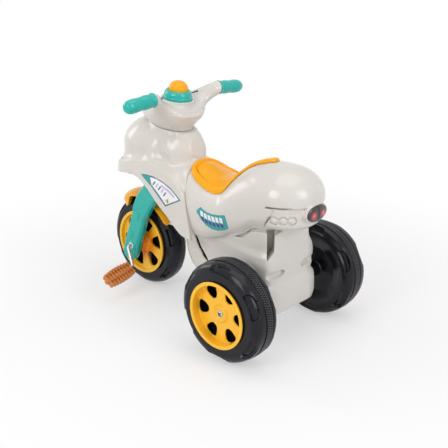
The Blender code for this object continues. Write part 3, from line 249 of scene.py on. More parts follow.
def net(shape, low, high, step):
    """Points and quads of the surface where a shape's value is zero, on a grid in a box."""
    low = np.array(low, dtype=float)
    values = sampled(shape, low, high, step)
    inside = values < 0
    total = np.zeros(tuple(n - 1 for n in inside.shape), dtype=np.int8)
    corners = [(i, j, k) for i in (0, 1) for j in (0, 1) for k in (0, 1)]
    for corner in corners:
        total += inside[tuple(slice(c, n - 1 + c) for c, n in zip(corner, inside.shape))]
    active = (total > 0) & (total < 8)
    cells = np.argwhere(active)
    index = np.full(active.shape, -1, dtype=np.int64)
    index[tuple(cells.T)] = np.arange(len(cells))
    places = np.zeros((len(cells), 3))
    crossings = np.zeros(len(cells))
    for a in corners:
        for axis in range(3):
            if a[axis]:
                continue
            b = tuple(c + (i == axis) for i, c in enumerate(a))
            fa = values[tuple((cells + a).T)]
            fb = values[tuple((cells + b).T)]
            hit = (fa < 0) != (fb < 0)
            share = fa[hit] / (fa[hit] - fb[hit])
            places[hit] += np.array(a) + share[:, None] * (np.array(b) - np.array(a))
            crossings[hit] += 1
    points = low + step * (cells + places / crossings[:, None])
    quads = []
    for axis in range(3):
        u, v = (axis + 1) % 3, (axis + 2) % 3
        first, second = [inside[part] for part in layers(axis)]
        edge = np.argwhere(first != second)
        fits = (edge[:, u] > 0) & (edge[:, v] > 0)
        fits &= (edge[:, u] < index.shape[u]) & (edge[:, v] < index.shape[v])
        edge = edge[fits & (edge[:, axis] < index.shape[axis])]
        du, dv = np.eye(3, dtype=int)[u], np.eye(3, dtype=int)[v]
        ring = [index[tuple((edge - s).T)] for s in (0 * du, du, du + dv, dv)]
        quad = np.stack(ring, axis=1)
        flip = ~first[tuple(edge.T)]
        quad[flip] = quad[flip][:, ::-1]
        quads.append(quad)
    return settle(shape, points, step), np.concatenate(quads)


def settle(shape, points, step, rounds=3):
    """Moves points onto a shape's surface along its steepest way."""
    start, reach = points.copy(), 0.05 * step
    for _ in range(rounds):
        value = shape(*points.T)
        slope = np.stack([(shape(*(points + reach * e).T) - shape(*(points - reach * e).T)) / (2 * reach)
                          for e in np.eye(3)], axis=1)
        steep = np.maximum((slope**2).sum(axis=1), 0.04)
        points = points - (value / steep)[:, None] * slope
        points = start + np.clip(points - start, -0.8 * step, 0.8 * step)
    return points


# Materials


def feed(tree, made, inputs):
    """Gives each input a value or another node's output."""
    for name, value in inputs.items():
        if isinstance(value, bpy.types.NodeSocket):
            tree.links.new(value, made.inputs[name])
        else:
            made.inputs[name].default_value = value


def node(tree, kind, inputs=None, out=None, **settings):
    """Adds a node and gives its output: the named one, or the first that is in use."""
    made = tree.nodes.new(kind)
    for name, value in settings.items():
        setattr(made, name, value)
    feed(tree, made, inputs or {})
    return made.outputs[out] if out else next((o for o in made.outputs if o.enabled), None)


def new_look(name):
    look = bpy.data.materials.new(name)
    look.use_nodes = True
    return look, look.node_tree, look.node_tree.nodes["Principled BSDF"]


def object_places(tree):
    return node(tree, "ShaderNodeTexCoord", out="Object")


def blended(tree, factor, first, second):
    return node(tree, "ShaderNodeMix", {"Factor": factor, "A": first, "B": second}, data_type="RGBA")


def distance(tree, place, centre, mask):
    """Distance of places from a centre, over the axes that the mask leaves."""
    made = node(tree, "ShaderNodeVectorMath", {0: place, 1: centre}, "Vector", operation="SUBTRACT")
    made = node(tree, "ShaderNodeVectorMath", {0: made, 1: mask}, "Vector", operation="MULTIPLY")
    return node(tree, "ShaderNodeVectorMath", {0: made}, "Value", operation="LENGTH")


def plastic(name, color, roughness, tint=0.04, bump=0.25, coat=0.0, scuff=0.1, shine=0.5):
    """Moulded plastic: faint mottling, a fine skin texture, uneven polish and light scuffs."""
    look, tree, shader = new_look(name)
    place = object_places(tree)

    def noise(scale, detail, rough=0.5):
        inputs = {"Vector": place, "Scale": scale, "Detail": detail, "Roughness": rough}
        return node(tree, "ShaderNodeTexNoise", inputs)

    def ranged(source, low, high, start=0.3, end=0.7):
        inputs = {"Value": source, "From Min": start, "From Max": end, "To Min": low, "To Max": high}
        return node(tree, "ShaderNodeMapRange", inputs)

    deep = (*[c * (1 - tint) for c in color], 1)
    pale = (*[min(c * (1 + tint) + 0.004, 1.0) for c in color], 1)
    mottle = blended(tree, ranged(noise(14.0, 4.0), 0.0, 1.0), deep, pale)
    smear = ranged(noise(38.0, 6.0, 0.6), roughness - 0.04, roughness + 0.05)
    scratch = ranged(noise(9.0, 12.0, 0.75), 0.0, scuff, 0.56, 0.74)
    polish = node(tree, "ShaderNodeMath", {0: smear, 1: scratch}, operation="ADD")
    skin = {0: noise(26.0, 2.0), 1: 0.8, 2: noise(220.0, 3.0)}
    height = node(tree, "ShaderNodeMath", skin, operation="MULTIPLY_ADD")
    raised = node(tree, "ShaderNodeBump", {"Strength": bump, "Distance": 0.0004, "Height": height})
    feed(tree, shader, {"Base Color": mottle, "Roughness": polish, "Normal": raised,
                        "Specular IOR Level": shine, "Coat Weight": coat, "Coat Roughness": 0.12})
    return look


def metal(name, color, roughness):
    """Plated steel with slightly cloudy patches of tone and polish."""
    look, tree, shader = new_look(name)
    cloud = node(tree, "ShaderNodeTexNoise", {"Vector": object_places(tree), "Scale": 300.0, "Detail": 5.0})
    tone = {"Value": cloud, "To Min": roughness - 0.08, "To Max": roughness + 0.12}
    patches = blended(tree, cloud, (*[0.82 * c for c in color], 1), (*color, 1))
    raised = node(tree, "ShaderNodeBump", {"Strength": 0.15, "Distance": 0.0002, "Height": cloud})
    feed(tree, shader, {"Metallic": 1.0, "Base Color": patches, "Normal": raised,
                        "Roughness": node(tree, "ShaderNodeMapRange", tone)})
    return look


def deepened(look, name, color, centre, near, far):
    """The same plastic, with painted shade: a deeper colour round a hub."""
    made = look.copy()
    made.name = name
    tree = made.node_tree
    shader = tree.nodes["Principled BSDF"]
    plain = shader.inputs["Base Color"].links[0].from_socket
    away = distance(tree, object_places(tree), centre, (0, 1, 1))
    reach = node(tree, "ShaderNodeMapRange", {"Value": away, "From Min": near, "From Max": far},
                 interpolation_type="SMOOTHSTEP")
    feed(tree, shader, {"Base Color": blended(tree, reach, (*color, 1), plain)})
    return made


def lamp_look():
    """Dark lens with a painted red glow in the middle of each half."""
    look = plastic("lamp_lens", (0.03, 0.006, 0.008), 0.1, bump=0.02, coat=0.6)
    tree = look.node_tree
    folded = node(tree, "ShaderNodeVectorMath", {0: object_places(tree)}, "Vector", operation="ABSOLUTE")
    away = distance(tree, folded, (0.0175, 0.0, 0.3445), (1, 0, 1))
    ramp = tree.nodes.new("ShaderNodeValToRGB")
    stops = ramp.color_ramp.elements
    for position in (0.38, 0.72):
        stops.new(position)
    # Base colours from the bright middle outwards: a painted glow, since the lens gives no light
    glow = (1.0, 0.16, 0.13), (0.62, 0.03, 0.03), (0.075, 0.008, 0.012), (0.018, 0.008, 0.012)
    for stop, color in zip(stops, glow):
        stop.color = (*color, 1)
    feed(tree, ramp, {"Fac": node(tree, "ShaderNodeMath", {0: away, 1: 72.0}, operation="MULTIPLY")})
    feed(tree, tree.nodes["Principled BSDF"], {"Base Color": ramp.outputs["Color"]})
    return look


IVORY = plastic("ivory_moulding", (0.665, 0.632, 0.582), 0.19, tint=0.01, bump=0.06, scuff=0.05)
ORANGE = plastic("orange_moulding", (0.92, 0.4, 0.003), 0.19, tint=0.02, bump=0.03, scuff=0.05,
                 shine=0.25)
YELLOW = plastic("yellow_moulding", (1.0, 0.54, 0.026), 0.2, tint=0.02, bump=0.03, scuff=0.05, shine=0.4)
# The front rims' deeper orange round the hub is painted shade
HUB_SHADED_YELLOW = deepened(YELLOW, "front_rim_hub_shade", (0.9, 0.27, 0.004), FRONT_AXLE, 0.034, 0.07)
TEAL = plastic("teal_moulding", (0.004, 0.44, 0.375), 0.13, tint=0.02, bump=0.05, scuff=0.05, shine=0.5)
TYRE = plastic("tyre_moulding", (0.0055, 0.006, 0.0105), 0.17, tint=0.2, bump=0.1, scuff=0.08, shine=0.28)
# Tread ribs lighter than the tyre: a painted sheen on the rib tops
SHEEN_TREAD = plastic("tread_painted_sheen", (0.03, 0.031, 0.037), 0.22, tint=0.2, bump=0.1, shine=0.6)
BROWN = plastic("pedal_moulding", (0.62, 0.2, 0.04), 0.36, bump=0.2)
NYLON = plastic("nylon_moulding", (0.78, 0.77, 0.73), 0.38)
# Painted shade: a near-black look for faces deep inside slots
SHADE = plastic("painted_slot_shade", (0.02, 0.022, 0.02), 0.55)
STEEL = metal("zinc_plate", (0.66, 0.66, 0.64), 0.28)
LENS = lamp_look()
INKS = {"teal": (0.03, 0.33, 0.33), "white": (0.86, 0.84, 0.88), "navy": (0.03, 0.045, 0.26),
        "grey": (0.06, 0.19, 0.22), "pink": (0.56, 0.44, 0.62), "black": (0.012, 0.012, 0.014),
        "sand": (0.72, 0.64, 0.33)}
DECALS = {word: plastic(f"decal_{word}", color, 0.22, bump=0.05) for word, color in INKS.items()}

# The part's slot name for each look, which piece() looks up without giving it; decals lie on ivory plastic
SLOTS = {ORANGE: "orange_plastic", YELLOW: "yellow_plastic", HUB_SHADED_YELLOW: "yellow_plastic",
         TEAL: "teal_plastic", TYRE: "black_plastic", SHEEN_TREAD: "black_plastic", BROWN: "brown_plastic",
         STEEL: "zinc_steel", LENS: "lamp_black"}


# Making pieces


def piece(name, points, faces, look, body, replaces=None, smooth=True, sharp=None):
    mesh = bpy.data.meshes.new(name)
    mesh.from_pydata([tuple(p) for p in points], [], [tuple(int(i) for i in f) for f in faces])
    mesh.validate()
    mesh.update()
    if smooth:
        mesh.shade_smooth()
        if sharp is not None:
            mesh.set_sharp_from_angle(angle=math.radians(sharp))
    made = bpy.data.objects.new(name, mesh)
    bpy.context.collection.objects.link(made)
    mesh.materials.append(look)
    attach(made, body)
    SLOTS.get(look, "ivory_plastic")
    if replaces:
        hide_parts(replaces)
    return made


def carved(name, shape, box, step, look, body, replaces=None):
    points, quads = net(shape, *box, step)
    return piece(name, points, quads, look, body, replaces)


def side_box(side, near, far, low, high):
    """Corners of a box that reaches from near to far on one side of the middle."""
    ends = sorted((side * near, side * far))
    return (ends[0], *low), (ends[1], *high)


def quads_between(rings, width, closed):
    """Quads between neighbouring rings of points; closed joins the last ring to the first too."""
    made = []
    for k in range(rings if closed else rings - 1):
        n = (k + 1) % rings
        for i in range(width):
            j = (i + 1) % width
            made.append((k * width + i, k * width + j, n * width + j, n * width + i))
    return made


def revolved(name, profile, steps, matrix, look, body, replaces=None, side=1, shift=None, sharp=35):
    """Closed (along, radius) profile turned about X of a frame; shift moves each point in and out."""
    turns = np.arange(steps) * 2 * math.pi / steps
    a, t = np.meshgrid([p[0] for p in profile], turns)
    r = np.meshgrid([p[1] for p in profile], turns)[0]
    if shift is not None:
        a, r = shift(a, r, t)
    local = np.stack([side * a, r * np.cos(t), r * np.sin(t)], axis=2).reshape(-1, 3)
    points = local @ np.array(matrix.to_3x3()).T + np.array(matrix.translation)
    faces = quads_between(steps, len(profile), True)
    if side < 0:
        faces = [quad[::-1] for quad in faces]
    return piece(name, points, faces, look, body, replaces, sharp=sharp)


def tube(name, path, radius, sides, look, body, replaces=None):
    """Round rod along points, with flat ends."""
    points, flat = [], None
    for k, point in enumerate(path):
        ahead = (path[min(k + 1, len(path) - 1)] - path[max(k - 1, 0)]).normalized()
        if flat is None:
            flat = ahead.orthogonal().normalized()
        flat = (flat - ahead * flat.dot(ahead)).normalized()
        over = ahead.cross(flat)
        turns = [2 * math.pi * s / sides for s in range(sides)]
        points += [point + radius * (math.cos(turn) * flat + math.sin(turn) * over) for turn in turns]
    faces = quads_between(len(path), sides, False)
    faces.append(tuple(range(sides))[::-1])
    faces.append(tuple((len(path) - 1) * sides + s for s in range(sides)))
    return piece(name, points, faces, look, body, replaces, sharp=40)


def paint_shade(made, where):
    """Gives the faces whose middles lie in a hollow a dark look: painted shade."""
    middles = np.empty(3 * len(made.data.polygons))
    made.data.polygons.foreach_get("center", middles)
    made.data.materials.append(SHADE)
    made.data.polygons.foreach_set("material_index", where(*middles.reshape(-1, 3).T).astype(np.int32))


# Camera

camera_data = bpy.data.cameras.new("camera")
camera_data.lens = 62.92
camera_data.sensor_width = 36.0
camera_data.clip_start, camera_data.clip_end = 0.05, 60.0
camera = bpy.data.objects.new("camera", camera_data)
bpy.context.collection.objects.link(camera)
camera.location = (1.3955, 1.3527, 0.9537)
camera.rotation_euler = Vector((-0.6867, -0.638, -0.3484)).to_track_quat("-Z", "Y").to_euler()
bpy.context.scene.camera = camera


# Body: the upper shell with its tail cowl, and the lower shell with the axle box and the keel

# Heights and half widths of the upper shell by place behind the rear axle
PAN = along([(-300, 402), (-245, 399), (-205, 387), (-165, 379), (-130, 381), (-100, 406), (-70, 428),
             (-36, 441), (-9, 446), (18, 445)])
FLANK = along([(-300, 84), (-240, 88), (-200, 94), (-150, 98), (-60, 97), (18, 95)])
SHOULDER = along([(-300, 300), (-130, 302), (-80, 325), (-30, 352), (10, 366), (40, 374)])
UNDER = along([(-300, 226), (-200, 226), (-120, 245), (-86, 262), (-40, 279), (-15, 298), (7, 304),
               (112, 306)])
# Ends and half widths of the lower shell by height
KEEL_FRONT = along([(62, -190), (80, -235), (100, -262), (121, -282), (147, -295), (174, -302),
                    (236, -305)])
BOX_REAR = along([(62, 32), (76, 49), (110, 56.5), (136, 56), (156, 52), (170, 49), (190, 49.5),
                  (212, 50), (273, 47), (315, 47)])
BOX_SIDE = along([(62, 80), (76, 94), (110, 100), (136, 100), (156, 98), (168, 92), (182, 95), (212, 97),
                  (232, 94), (252, 86), (273, 84), (315, 82)])
KEEL_SIDE = along([(62, 26), (120, 30), (200, 34), (315, 40)])
CREASE = along([(62, 0), (200, -20), (221, -49), (249, -86), (315, -130)])
KEEL_SLOT = mm([(-250, 222), (-244, 207), (-230, 181), (-212, 163), (-190, 152)])
BOX_CORNER = 0.026
CORNER_X, CORNER_Y = 0.081, 0.039    # slanting rear corner of the axle box
BUMP_ANGLES = (22.0, 36.5, 50.5)
BUMP_REACH, BUMP_HEIGHT = 0.0805, 0.334


def tail_reach(x, d):
    """Distance from the middle plane, or from the tail's round centre behind it."""
    return np.sqrt(x * x + np.maximum(d - TAIL_CENTRE, 0.0) ** 2)


def tail_slant(start, d, z):
    """Distance ahead of a slanting plane, which is at start behind the axle at a height of 309 mm."""
    return (start + 0.5185 * (z - 0.309) - d) * 0.888


def upper_shell(x, y, z):
    d = y - REAR_Y
    width, shoulder, low = FLANK(d), SHOULDER(d), UNDER(d)
    across = tail_reach(x, d)
    height = np.maximum(PAN(d) - shoulder, 0.02)
    rise = np.maximum(z - shoulder, 0.0)
    q = oval(across, rise, width, height) + 1e-9
    steep = oval(across, rise, width**2, height**2) / q + 1.0
    t = np.clip((z - low) / (shoulder - low), 0.0, 1.0)
    wall = across - width * (1 - 0.2 * (1 - t) ** 4.5)
    side = np.where(z > shoulder, (q - 1) / steep, wall)
    return smax(side, low - z, 0.01)


def lower_shell(x, y, z):
    u, v = np.abs(x), y - REAR_Y
    front, rear = KEEL_FRONT(z), BOX_REAR(z)
    keel, box, crease = KEEL_SIDE(z), BOX_SIDE(z), CREASE(z)
    marks = [(0.72 * keel, front + 0.003), (keel, front + 0.016), (0.93 * box, crease),
             (box, crease + 0.03 * np.where(crease < 0, 1.0, 0.4)), (box, rear - BOX_CORNER),
             (box - 0.3 * BOX_CORNER, rear - 0.3 * BOX_CORNER), (box - BOX_CORNER, rear), (0.0, rear)]
    made = front - v
    for a, b in zip(marks, marks[1:]):
        made = smax(made, beside(u, v, a, b), 0.006)
    made = smax(made, 0.062 - z, 0.014)
    return smax(made, z - 0.318, 0.004)


def both_shells(x, y, z):
    return np.minimum(upper_shell(x, y, z), lower_shell(x, y, z))


def keel_slot(x, y, z):
    away, share = to_line(y - REAR_Y, z, KEEL_SLOT)
    width = 0.0058 * np.sqrt(np.clip(1 - (2 * share - 1) ** 2, 0.0, 1.0)) + 0.0006
    return overlap(away - width, 0.008 - np.abs(x))


def split_plane(y, z):
    """Distance behind the plane between the fairing and the body."""
    share = (z - 0.224) / (0.405 - 0.224)
    return (y - (FRONT_Y + 0.2713 + share * (0.207 - 0.2713))) * 0.942


def tail_panel(x, d, z):
    """The sunk band under the cowl, negative inside."""
    band = smax(overlap(0.0882 - tail_reach(x, d), z - 0.3645), 0.28 - z, 0.002)
    return smax(band, tail_slant(0.024, d, z), 0.002)


def tail_details(made, x, d, z):
    """Cuts the band, its slit and seam into the tail, and sets the bumps in their moats on it."""
    made = smax(made, -tail_panel(x, d, z), 0.0025)
    reach = tail_reach(x, d)
    for angle in BUMP_ANGLES:
        turn = math.radians(angle)
        bx, bd = BUMP_REACH * math.cos(turn), TAIL_CENTRE + BUMP_REACH * math.sin(turn)
        ball = np.sqrt((np.abs(x) - bx) ** 2 + (d - bd) ** 2 + (z - BUMP_HEIGHT) ** 2) - 0.0108
        moat = overlap(slab(ball - 0.0006, 0.0012), 0.0853 - reach)
        made = smax(smin(made, ball, 0.001), -moat, 0.0008)
    slit = overlap(slab(z - 0.3652, 0.0025), 0.078 - reach, tail_slant(0.005, d, z), 0.0625 - np.abs(x))
    made = smax(made, -slit, 0.0012)
    seam = overlap(slab(tail_slant(0.0235, d, z), 0.0019), 0.08 - reach, slab(z - 0.317, 0.026))
    return smax(made, -seam, 0.001)


def corner_places(u, d):
    """Place across the slanting rear corner of the axle box, and outward from it."""
    a, b = u - CORNER_X, d - CORNER_Y
    return b * 0.733 - a * 0.68, a * 0.733 + b * 0.68


def body_shape(x, y, z):
    d = y - REAR_Y
    u = np.abs(x)
    lower = lower_shell(x, y, z)
    made = tail_details(upper_shell(x, y, z), x, d, z)
    # soft dents in the axle box's rear corners
    over, out = corner_places(u, d)
    dent = 1 - np.abs((over - 0.017) / 0.025) ** 3 - ((z - 0.19) / 0.0115) ** 2
    made = smin(made, lower + 0.011 * smooth_step(dent), 0.004)
    # bosses of the rear axle, and the base of the tail lamp
    made = smin(made, overlap(np.hypot(d, z - REAR_AXLE.z) - 0.02, u - 0.1282), 0.01)
    lamp = (oval(x, z - LAMP_HEIGHT, 0.0395, 0.023) - 1) * 0.027
    made = smin(made, overlap(lamp, d - LAMP_FACE + 0.0002, 0.055 - d), 0.006)
    # the notch at the corner under the band
    t = np.clip((0.304 - z) / 0.074, 0.0, 1.0)
    notch = smax(np.abs(over - 0.0045 + 0.0012 * t) - 0.0094 + 0.0014 * t, -0.052 - out, 0.003)
    notch = smax(notch, overlap(0.2345 + 1.15 * over - z, z - 0.306), 0.001)
    made = smax(made, -notch, 0.0016)
    # the channel between the upper and the lower shell
    high = 0.004 * smooth_step((d + 0.075) / 0.03) * smooth_step((u - 0.012) / 0.045)
    high = high + 0.006 * hump(over, 0.016, 0.008)
    channel = overlap(np.abs(z - (UNDER(d) - 0.0042)) - high, -0.0095 - lower)
    made = smax(made, -channel, 0.003)
    made = smax(made, -keel_slot(x, y, z), 0.002)
    # the ends toward the fairing and the front wheel, and the bore of the axle
    fairing_side = overlap(split_plane(y, z) - SPLIT_GAP, 0.23585 - z)
    made = smax(made, -fairing_side, 0.0012)
    made = smax(made, FRONT_Y + 0.1575 - y, 0.0012)
    return overlap(made, -overlap(np.hypot(d, z - REAR_AXLE.z) - BORE, u - 0.2))


def in_keel_slot(x, y, z):
    return (np.abs(keel_slot(x, y, z)) < 0.0012) & (both_shells(x, y, z) < -0.003)


def make_body():
    box = (-0.132, FRONT_Y + 0.155, 0.055), (0.132, REAR_Y + 0.12, 0.452)
    made = carved("body_shell", body_shape, box, fine(0.0017), IVORY, "frame", "main_body")
    # painted shade inside the keel slot
    paint_shade(made, in_keel_slot)
    return made


# Fairing: nose, tank and the wings over the front wheel, by place behind the front axle

WING_FOOT = along([(-66, 338), (-30, 346), (10, 356), (48, 361), (70, 354), (86, 346), (101, 336),
                   (116, 323), (129, 310), (154, 288), (185, 266), (212, 243), (239, 227), (263, 223),
                   (289.3, 226)])
RIDGE = along([(-66, 352), (-56, 362), (-30, 370), (20, 382), (70, 390), (116.3, 392), (143.3, 386),
               (161.3, 379), (183.3, 371), (204.3, 360), (224.3, 349), (239.3, 337), (263.3, 320),
               (289.3, 305)])
RIDGE_SHARE = along([(-30, 975), (40, 930), (100, 840), (200, 840), (289.3, 890)])
TOP_LINE = along([(35, 496), (100, 494), (140, 489), (165, 484.5), (184, 475), (205, 462)])
TANK_SIDE = along([(39.3, 87), (60, 81.5), (78, 75), (90, 74.5), (103, 75), (118, 70), (135, 62),
                   (150, 58.5)])
TANK_SHOULDER = along([(39.3, 425), (150, 418)])
# Swells and hollows on the tank's sides: place behind the front axle, width and height
SWELLS = ((0.086, 0.017, 0.005), (0.117, 0.013, -0.0042), (0.146, 0.016, 0.006),
          (0.182, 0.016, -0.0036))
VALLEY = mm([(150, 408), (175, 398), (195, 384), (212, 362), (235, 336), (262, 306)])
WIDEST = 0.0393
WING_SIDE = 0.105
STEM_PLACE = 0.0893


def steering_places(x, y, z):
    """Height along the steering axis, place behind it and distance from it."""
    cy, cz = y - CROWN.y, z - CROWN.z
    off = cy * COS_TILT - cz * SIN_TILT
    return cy * SIN_TILT + cz * COS_TILT, off, np.hypot(x, off)


def tank_shape(u, d, z, ahead):
    """The tank bulge with its swells, which rounds off at the front and at the rear."""
    shoulder, top = TANK_SHOULDER(d), TOP_LINE(d)
    reach = np.maximum(d - 0.15, 0.0)
    rise = np.clip((z - shoulder) / (top - shoulder), 0.0, 1.6)
    drop = np.clip((0.405 - z) / 0.05, 0.0, 1.0)
    swell = sum(height * hump(d, middle + 0.3 * (0.43 - z), wide) for middle, wide, height in SWELLS)
    swell = swell * smooth_step((z - 0.385) / 0.02) * smooth_step((0.485 - z) / 0.03)
    side = TANK_SIDE(d) + 0.004 * drop * (d > WIDEST) + swell
    plan = (u / side) ** 2 + (ahead / (0.0888 + 0.001 * drop)) ** 2 + (reach / 0.0552) ** 2
    q = np.sqrt(plan + rise**1.9) + 1e-9
    return (q - 1) * (0.06 - 0.015 * smooth_step((d - 0.13) / 0.045)) / (1 + 0.9 * rise)


def fairing_shape(x, y, z):
    d = y - FRONT_Y
    u = np.abs(x)
    ahead = np.maximum(WIDEST - d, 0.0)
    height, off, away = steering_places(x, y, z)
    # wings
    ridge, foot = RIDGE(d), WING_FOOT(d)
    t = np.clip((z - foot - 0.005) / np.maximum(ridge - foot - 0.005, 0.006), 0.0, 1.0)
    wing_w = WING_SIDE * (1 + t * (RIDGE_SHARE(d) - 1))
    wing = (oval(u, ahead, wing_w, 0.1055 * (1 - 0.025 * t)) - 1) * 0.1
    lip = ridge + 0.3 * np.maximum(0.84 * WING_SIDE - u, 0.0) * (d > WIDEST)
    wing = smax(smax(wing, z - lip, 0.006), foot - z, 0.005)
    tank = tank_shape(u, d, z, ahead)
    made = smin(wing, tank, 0.01 + 0.02 * smooth_step((0.17 - d) / 0.06))
    # saddle and flanks toward the body
    saddle_top = 0.4015 - 0.05 * np.maximum(d - 0.205, 0.0)
    saddle_w = 0.07 + 0.01 * np.clip((d - 0.2) / 0.08, 0, 1)
    saddle = (oval(u, np.maximum(z - 0.35, 0.0), saddle_w, saddle_top - 0.35) - 1) * 0.04
    made = smin(made, overlap(saddle, 0.15 - d, foot - z), 0.01)
    made = smin(made, overlap(u - 0.08, z - 0.35, 0.15 - d, foot - z), 0.008)
    # the valley between tank and wings
    aside, t = to_line(d, z, VALLEY)
    groove = np.sqrt((u - (0.073 + 0.012 * t)) ** 2 + aside**2) - (0.0085 - 0.004 * t)
    made = smax(made, -groove, 0.009)
    # the arch over the front wheel
    wall = (oval(u, ahead, np.minimum(0.098, wing_w - 0.004), 0.0955) - 1) * 0.095
    ceiling = 0.33 - math.tan(STEER_TILT) * (d - STEM_PLACE - 0.0029)
    room = smooth_step((np.hypot(x, d - STEM_PLACE) - 0.034) / 0.02) * (d < STEM_PLACE)
    ceiling = ceiling + 0.04 * room
    arch = smax(smax(wall, z - ceiling, 0.004), d - 0.1483, 0.006)
    made = smax(made, -arch, 0.003)
    # the stem's sleeve, the ends toward the body, the handlebar's pad and the stem's bore
    made = smin(made, overlap(away - 0.026, 0.0202 - height, height - 0.08), 0.004)
    made = overlap(made, -overlap(u - 0.098, z - 0.23615, 0.138 - d))
    made = smax(made, split_plane(y, z) + SPLIT_GAP, 0.0012)
    pad = (oval(x, off + 0.008, 0.0478, 0.0604) - 1) * 0.045
    made = smin(made, overlap(pad, COLLAR - 0.03 - height), 0.012)
    made = smax(made, height - COLLAR, 0.0008)
    return overlap(made, 0.0133 - away)


def make_fairing():
    box = (-0.112, FRONT_Y - 0.072, 0.216), (0.112, FRONT_Y + 0.295, 0.5)
    return carved("fairing_shell", fairing_shape, box, fine(0.0016), IVORY, "frame",
                  "front_fairing")


# Seat pad: a rim round a sunk pan, and a strip that runs up the tail

SEAT_SIDE = along([(-259, 30), (-254, 44), (-238, 56), (-215, 64), (-180, 71), (-145, 75), (-120, 70),
                   (-102, 48), (-88, 24), (-60, 20), (-30, 16), (-9, 10)])
SEAT_HALF = [(float(SEAT_SIDE(d)), d) for d in np.linspace(-0.259, -0.009, 90)]
SEAT_OUTLINE = SEAT_HALF + [(-x, d) for x, d in reversed(SEAT_HALF)]


def seat_shape(x, y, z):
    d = y - REAR_Y
    edge = to_outline(x, d, SEAT_OUTLINE)
    inward = -edge
    over = upper_shell(x, y, z)
    pan = smooth_step((inward - 0.0105) / 0.0032) * smooth_step((-0.108 - d) / 0.02)
    rim = 0.0078 - 0.0052 * pan + 0.0008 * smooth_step((inward - 0.02) / 0.02)
    rim = rim - 0.001 * pan * hump(inward, 0.0142, 0.0014)
    groove = hump(inward, 0.0072, 0.0013) * smooth_step((d + 0.118) / 0.012)
    roll = 0.003 * np.clip(1 - inward / 0.004, 0.0, 1.0) ** 2 + 0.0014 * groove
    made = smax(over - (rim - roll), edge, 0.0035)
    made = overlap(made, 0.0007 - over)
    return smax(made, -split_plane(y, z) + 0.0009, 0.002)


def make_seat():
    box = (-0.08, REAR_Y - 0.264, 0.345), (0.08, REAR_Y - 0.002, 0.46)
    carved("seat_pad", seat_shape, box, fine(0.0012), ORANGE, "frame", "seat")


# Wheels: profiles as (across, radius)

REAR_TYRE = mm([(188.5, 79.4), (218, 79.4), (218, 103.6), (217.2, 104.8), (217.2, 106.2), (216, 109.6),
                (213.2, 114.8), (208, 120), (200, 122.8), (188.5, 124), (187.8, 121.4), (185.6, 121.4),
                (185, 122), (163, 122), (162.4, 121.6), (160.6, 121.6), (159.8, 124.1), (154, 123.5),
                (148, 120.5), (143.6, 115), (141.8, 108.5), (144, 96), (147.6, 84), (156, 66), (158.6, 60),
                (158.6, 22), (154, 19), (132, 17), (132, 5.3), (200.6, 5.3), (200.6, 14), (188.5, 16)])
FRONT_TYRE = mm([(9, 16), (9, 87.4), (30.2, 87.4), (30.2, 109.6), (29.4, 110.8), (28.8, 113.5),
                 (26.8, 117.8), (22.5, 122.6), (16, 126.2), (12.2, 127.4), (11.6, 126.2), (9.8, 126.2),
                 (9.2, 128), (4, 128.6)])
REAR_RIM = mm([(201, 5.3), (201, 78.8), (220.8, 78.8), (221.4, 82.1), (222.6, 82.8), (224, 82.6),
               (224.7, 81.6), (224.7, 75.2), (223.8, 74.1), (205.4, 72.2), (204, 70.8), (204, 23.2),
               (208.2, 19.4), (209, 18.2), (208.8, 16.2), (206.6, 13.8), (206.6, 5.3)])
FRONT_RIM = mm([(21.3, 4.8), (21.3, 86.8), (34.8, 86.8), (35.4, 90.6), (36.4, 91.5), (38, 91.2),
                (38.7, 90.2), (38.7, 83.6), (37.8, 82.4), (29.4, 80), (28, 78.6), (28, 29), (33, 23.5),
                (43.4, 20), (44, 18.5), (44, 4.8)])
RIB_ROWS = mm([(164, 169.6), (170.4, 176.8), (177.6, 184)])
TYRE_STEP, TYRE_FINE_FROM = 0.0012, 0.096


def scalloped(profile, zones, first, count=6, depth=0.0072):
    """Sinks D-shaped pockets into a tyre's shoulders.

    A zone is (start along the profile, edge radius, half width, reach, way along the profile)."""
    line = np.array(profile)
    way = np.roll(line, -1, axis=0) - np.roll(line, 1, axis=0)
    way /= np.linalg.norm(way, axis=1)[:, None] + 1e-12
    normal = np.stack([-way[:, 1], way[:, 0]], axis=1)
    travel = travel_along(line)

    def shift(a, r, t):
        pitch = 2 * math.pi / count
        swing = (t - first + pitch / 2) % pitch - pitch / 2
        sunk = np.zeros_like(r)
        for start, edge, half, reach, sign in zones:
            far = np.broadcast_to(sign * (travel - start), r.shape)
            q = ((np.abs(swing) * edge / half) ** 2.6 + (np.maximum(far, 0.0) / reach) ** 2.6) ** (1 / 2.6)
            inside = smooth_step((1 - q) * half / 0.0021) * smooth_step(far / 0.0015)
            edge_line = hump((1 - q) * half, -0.0016, 0.0011) * (far > -0.001)
            sunk = np.maximum(sunk, depth * inside) - 0.0009 * edge_line
        return a + sunk * normal[:, 0], r + sunk * normal[:, 1]

    return shift


def start_of(profile, place):
    """Length along a profile to the point nearest a place."""
    line = np.array(profile)
    return float(travel_along(line)[np.argmin(np.hypot(line[:, 0] - place[0], line[:, 1] - place[1]))])


def tyre(name, profile, zones, first, centre, body, replaces, side=1):
    """A tyre whose pockets start at (place on the profile, edge radius, half width, reach, way)."""
    zones = [(start_of(profile, place), *rest) for place, *rest in zones]
    revolved(name, profile, fine(600), Matrix.Translation(centre), TYRE, body, replaces, side,
             scalloped(profile, zones, math.radians(first)), sharp=50)


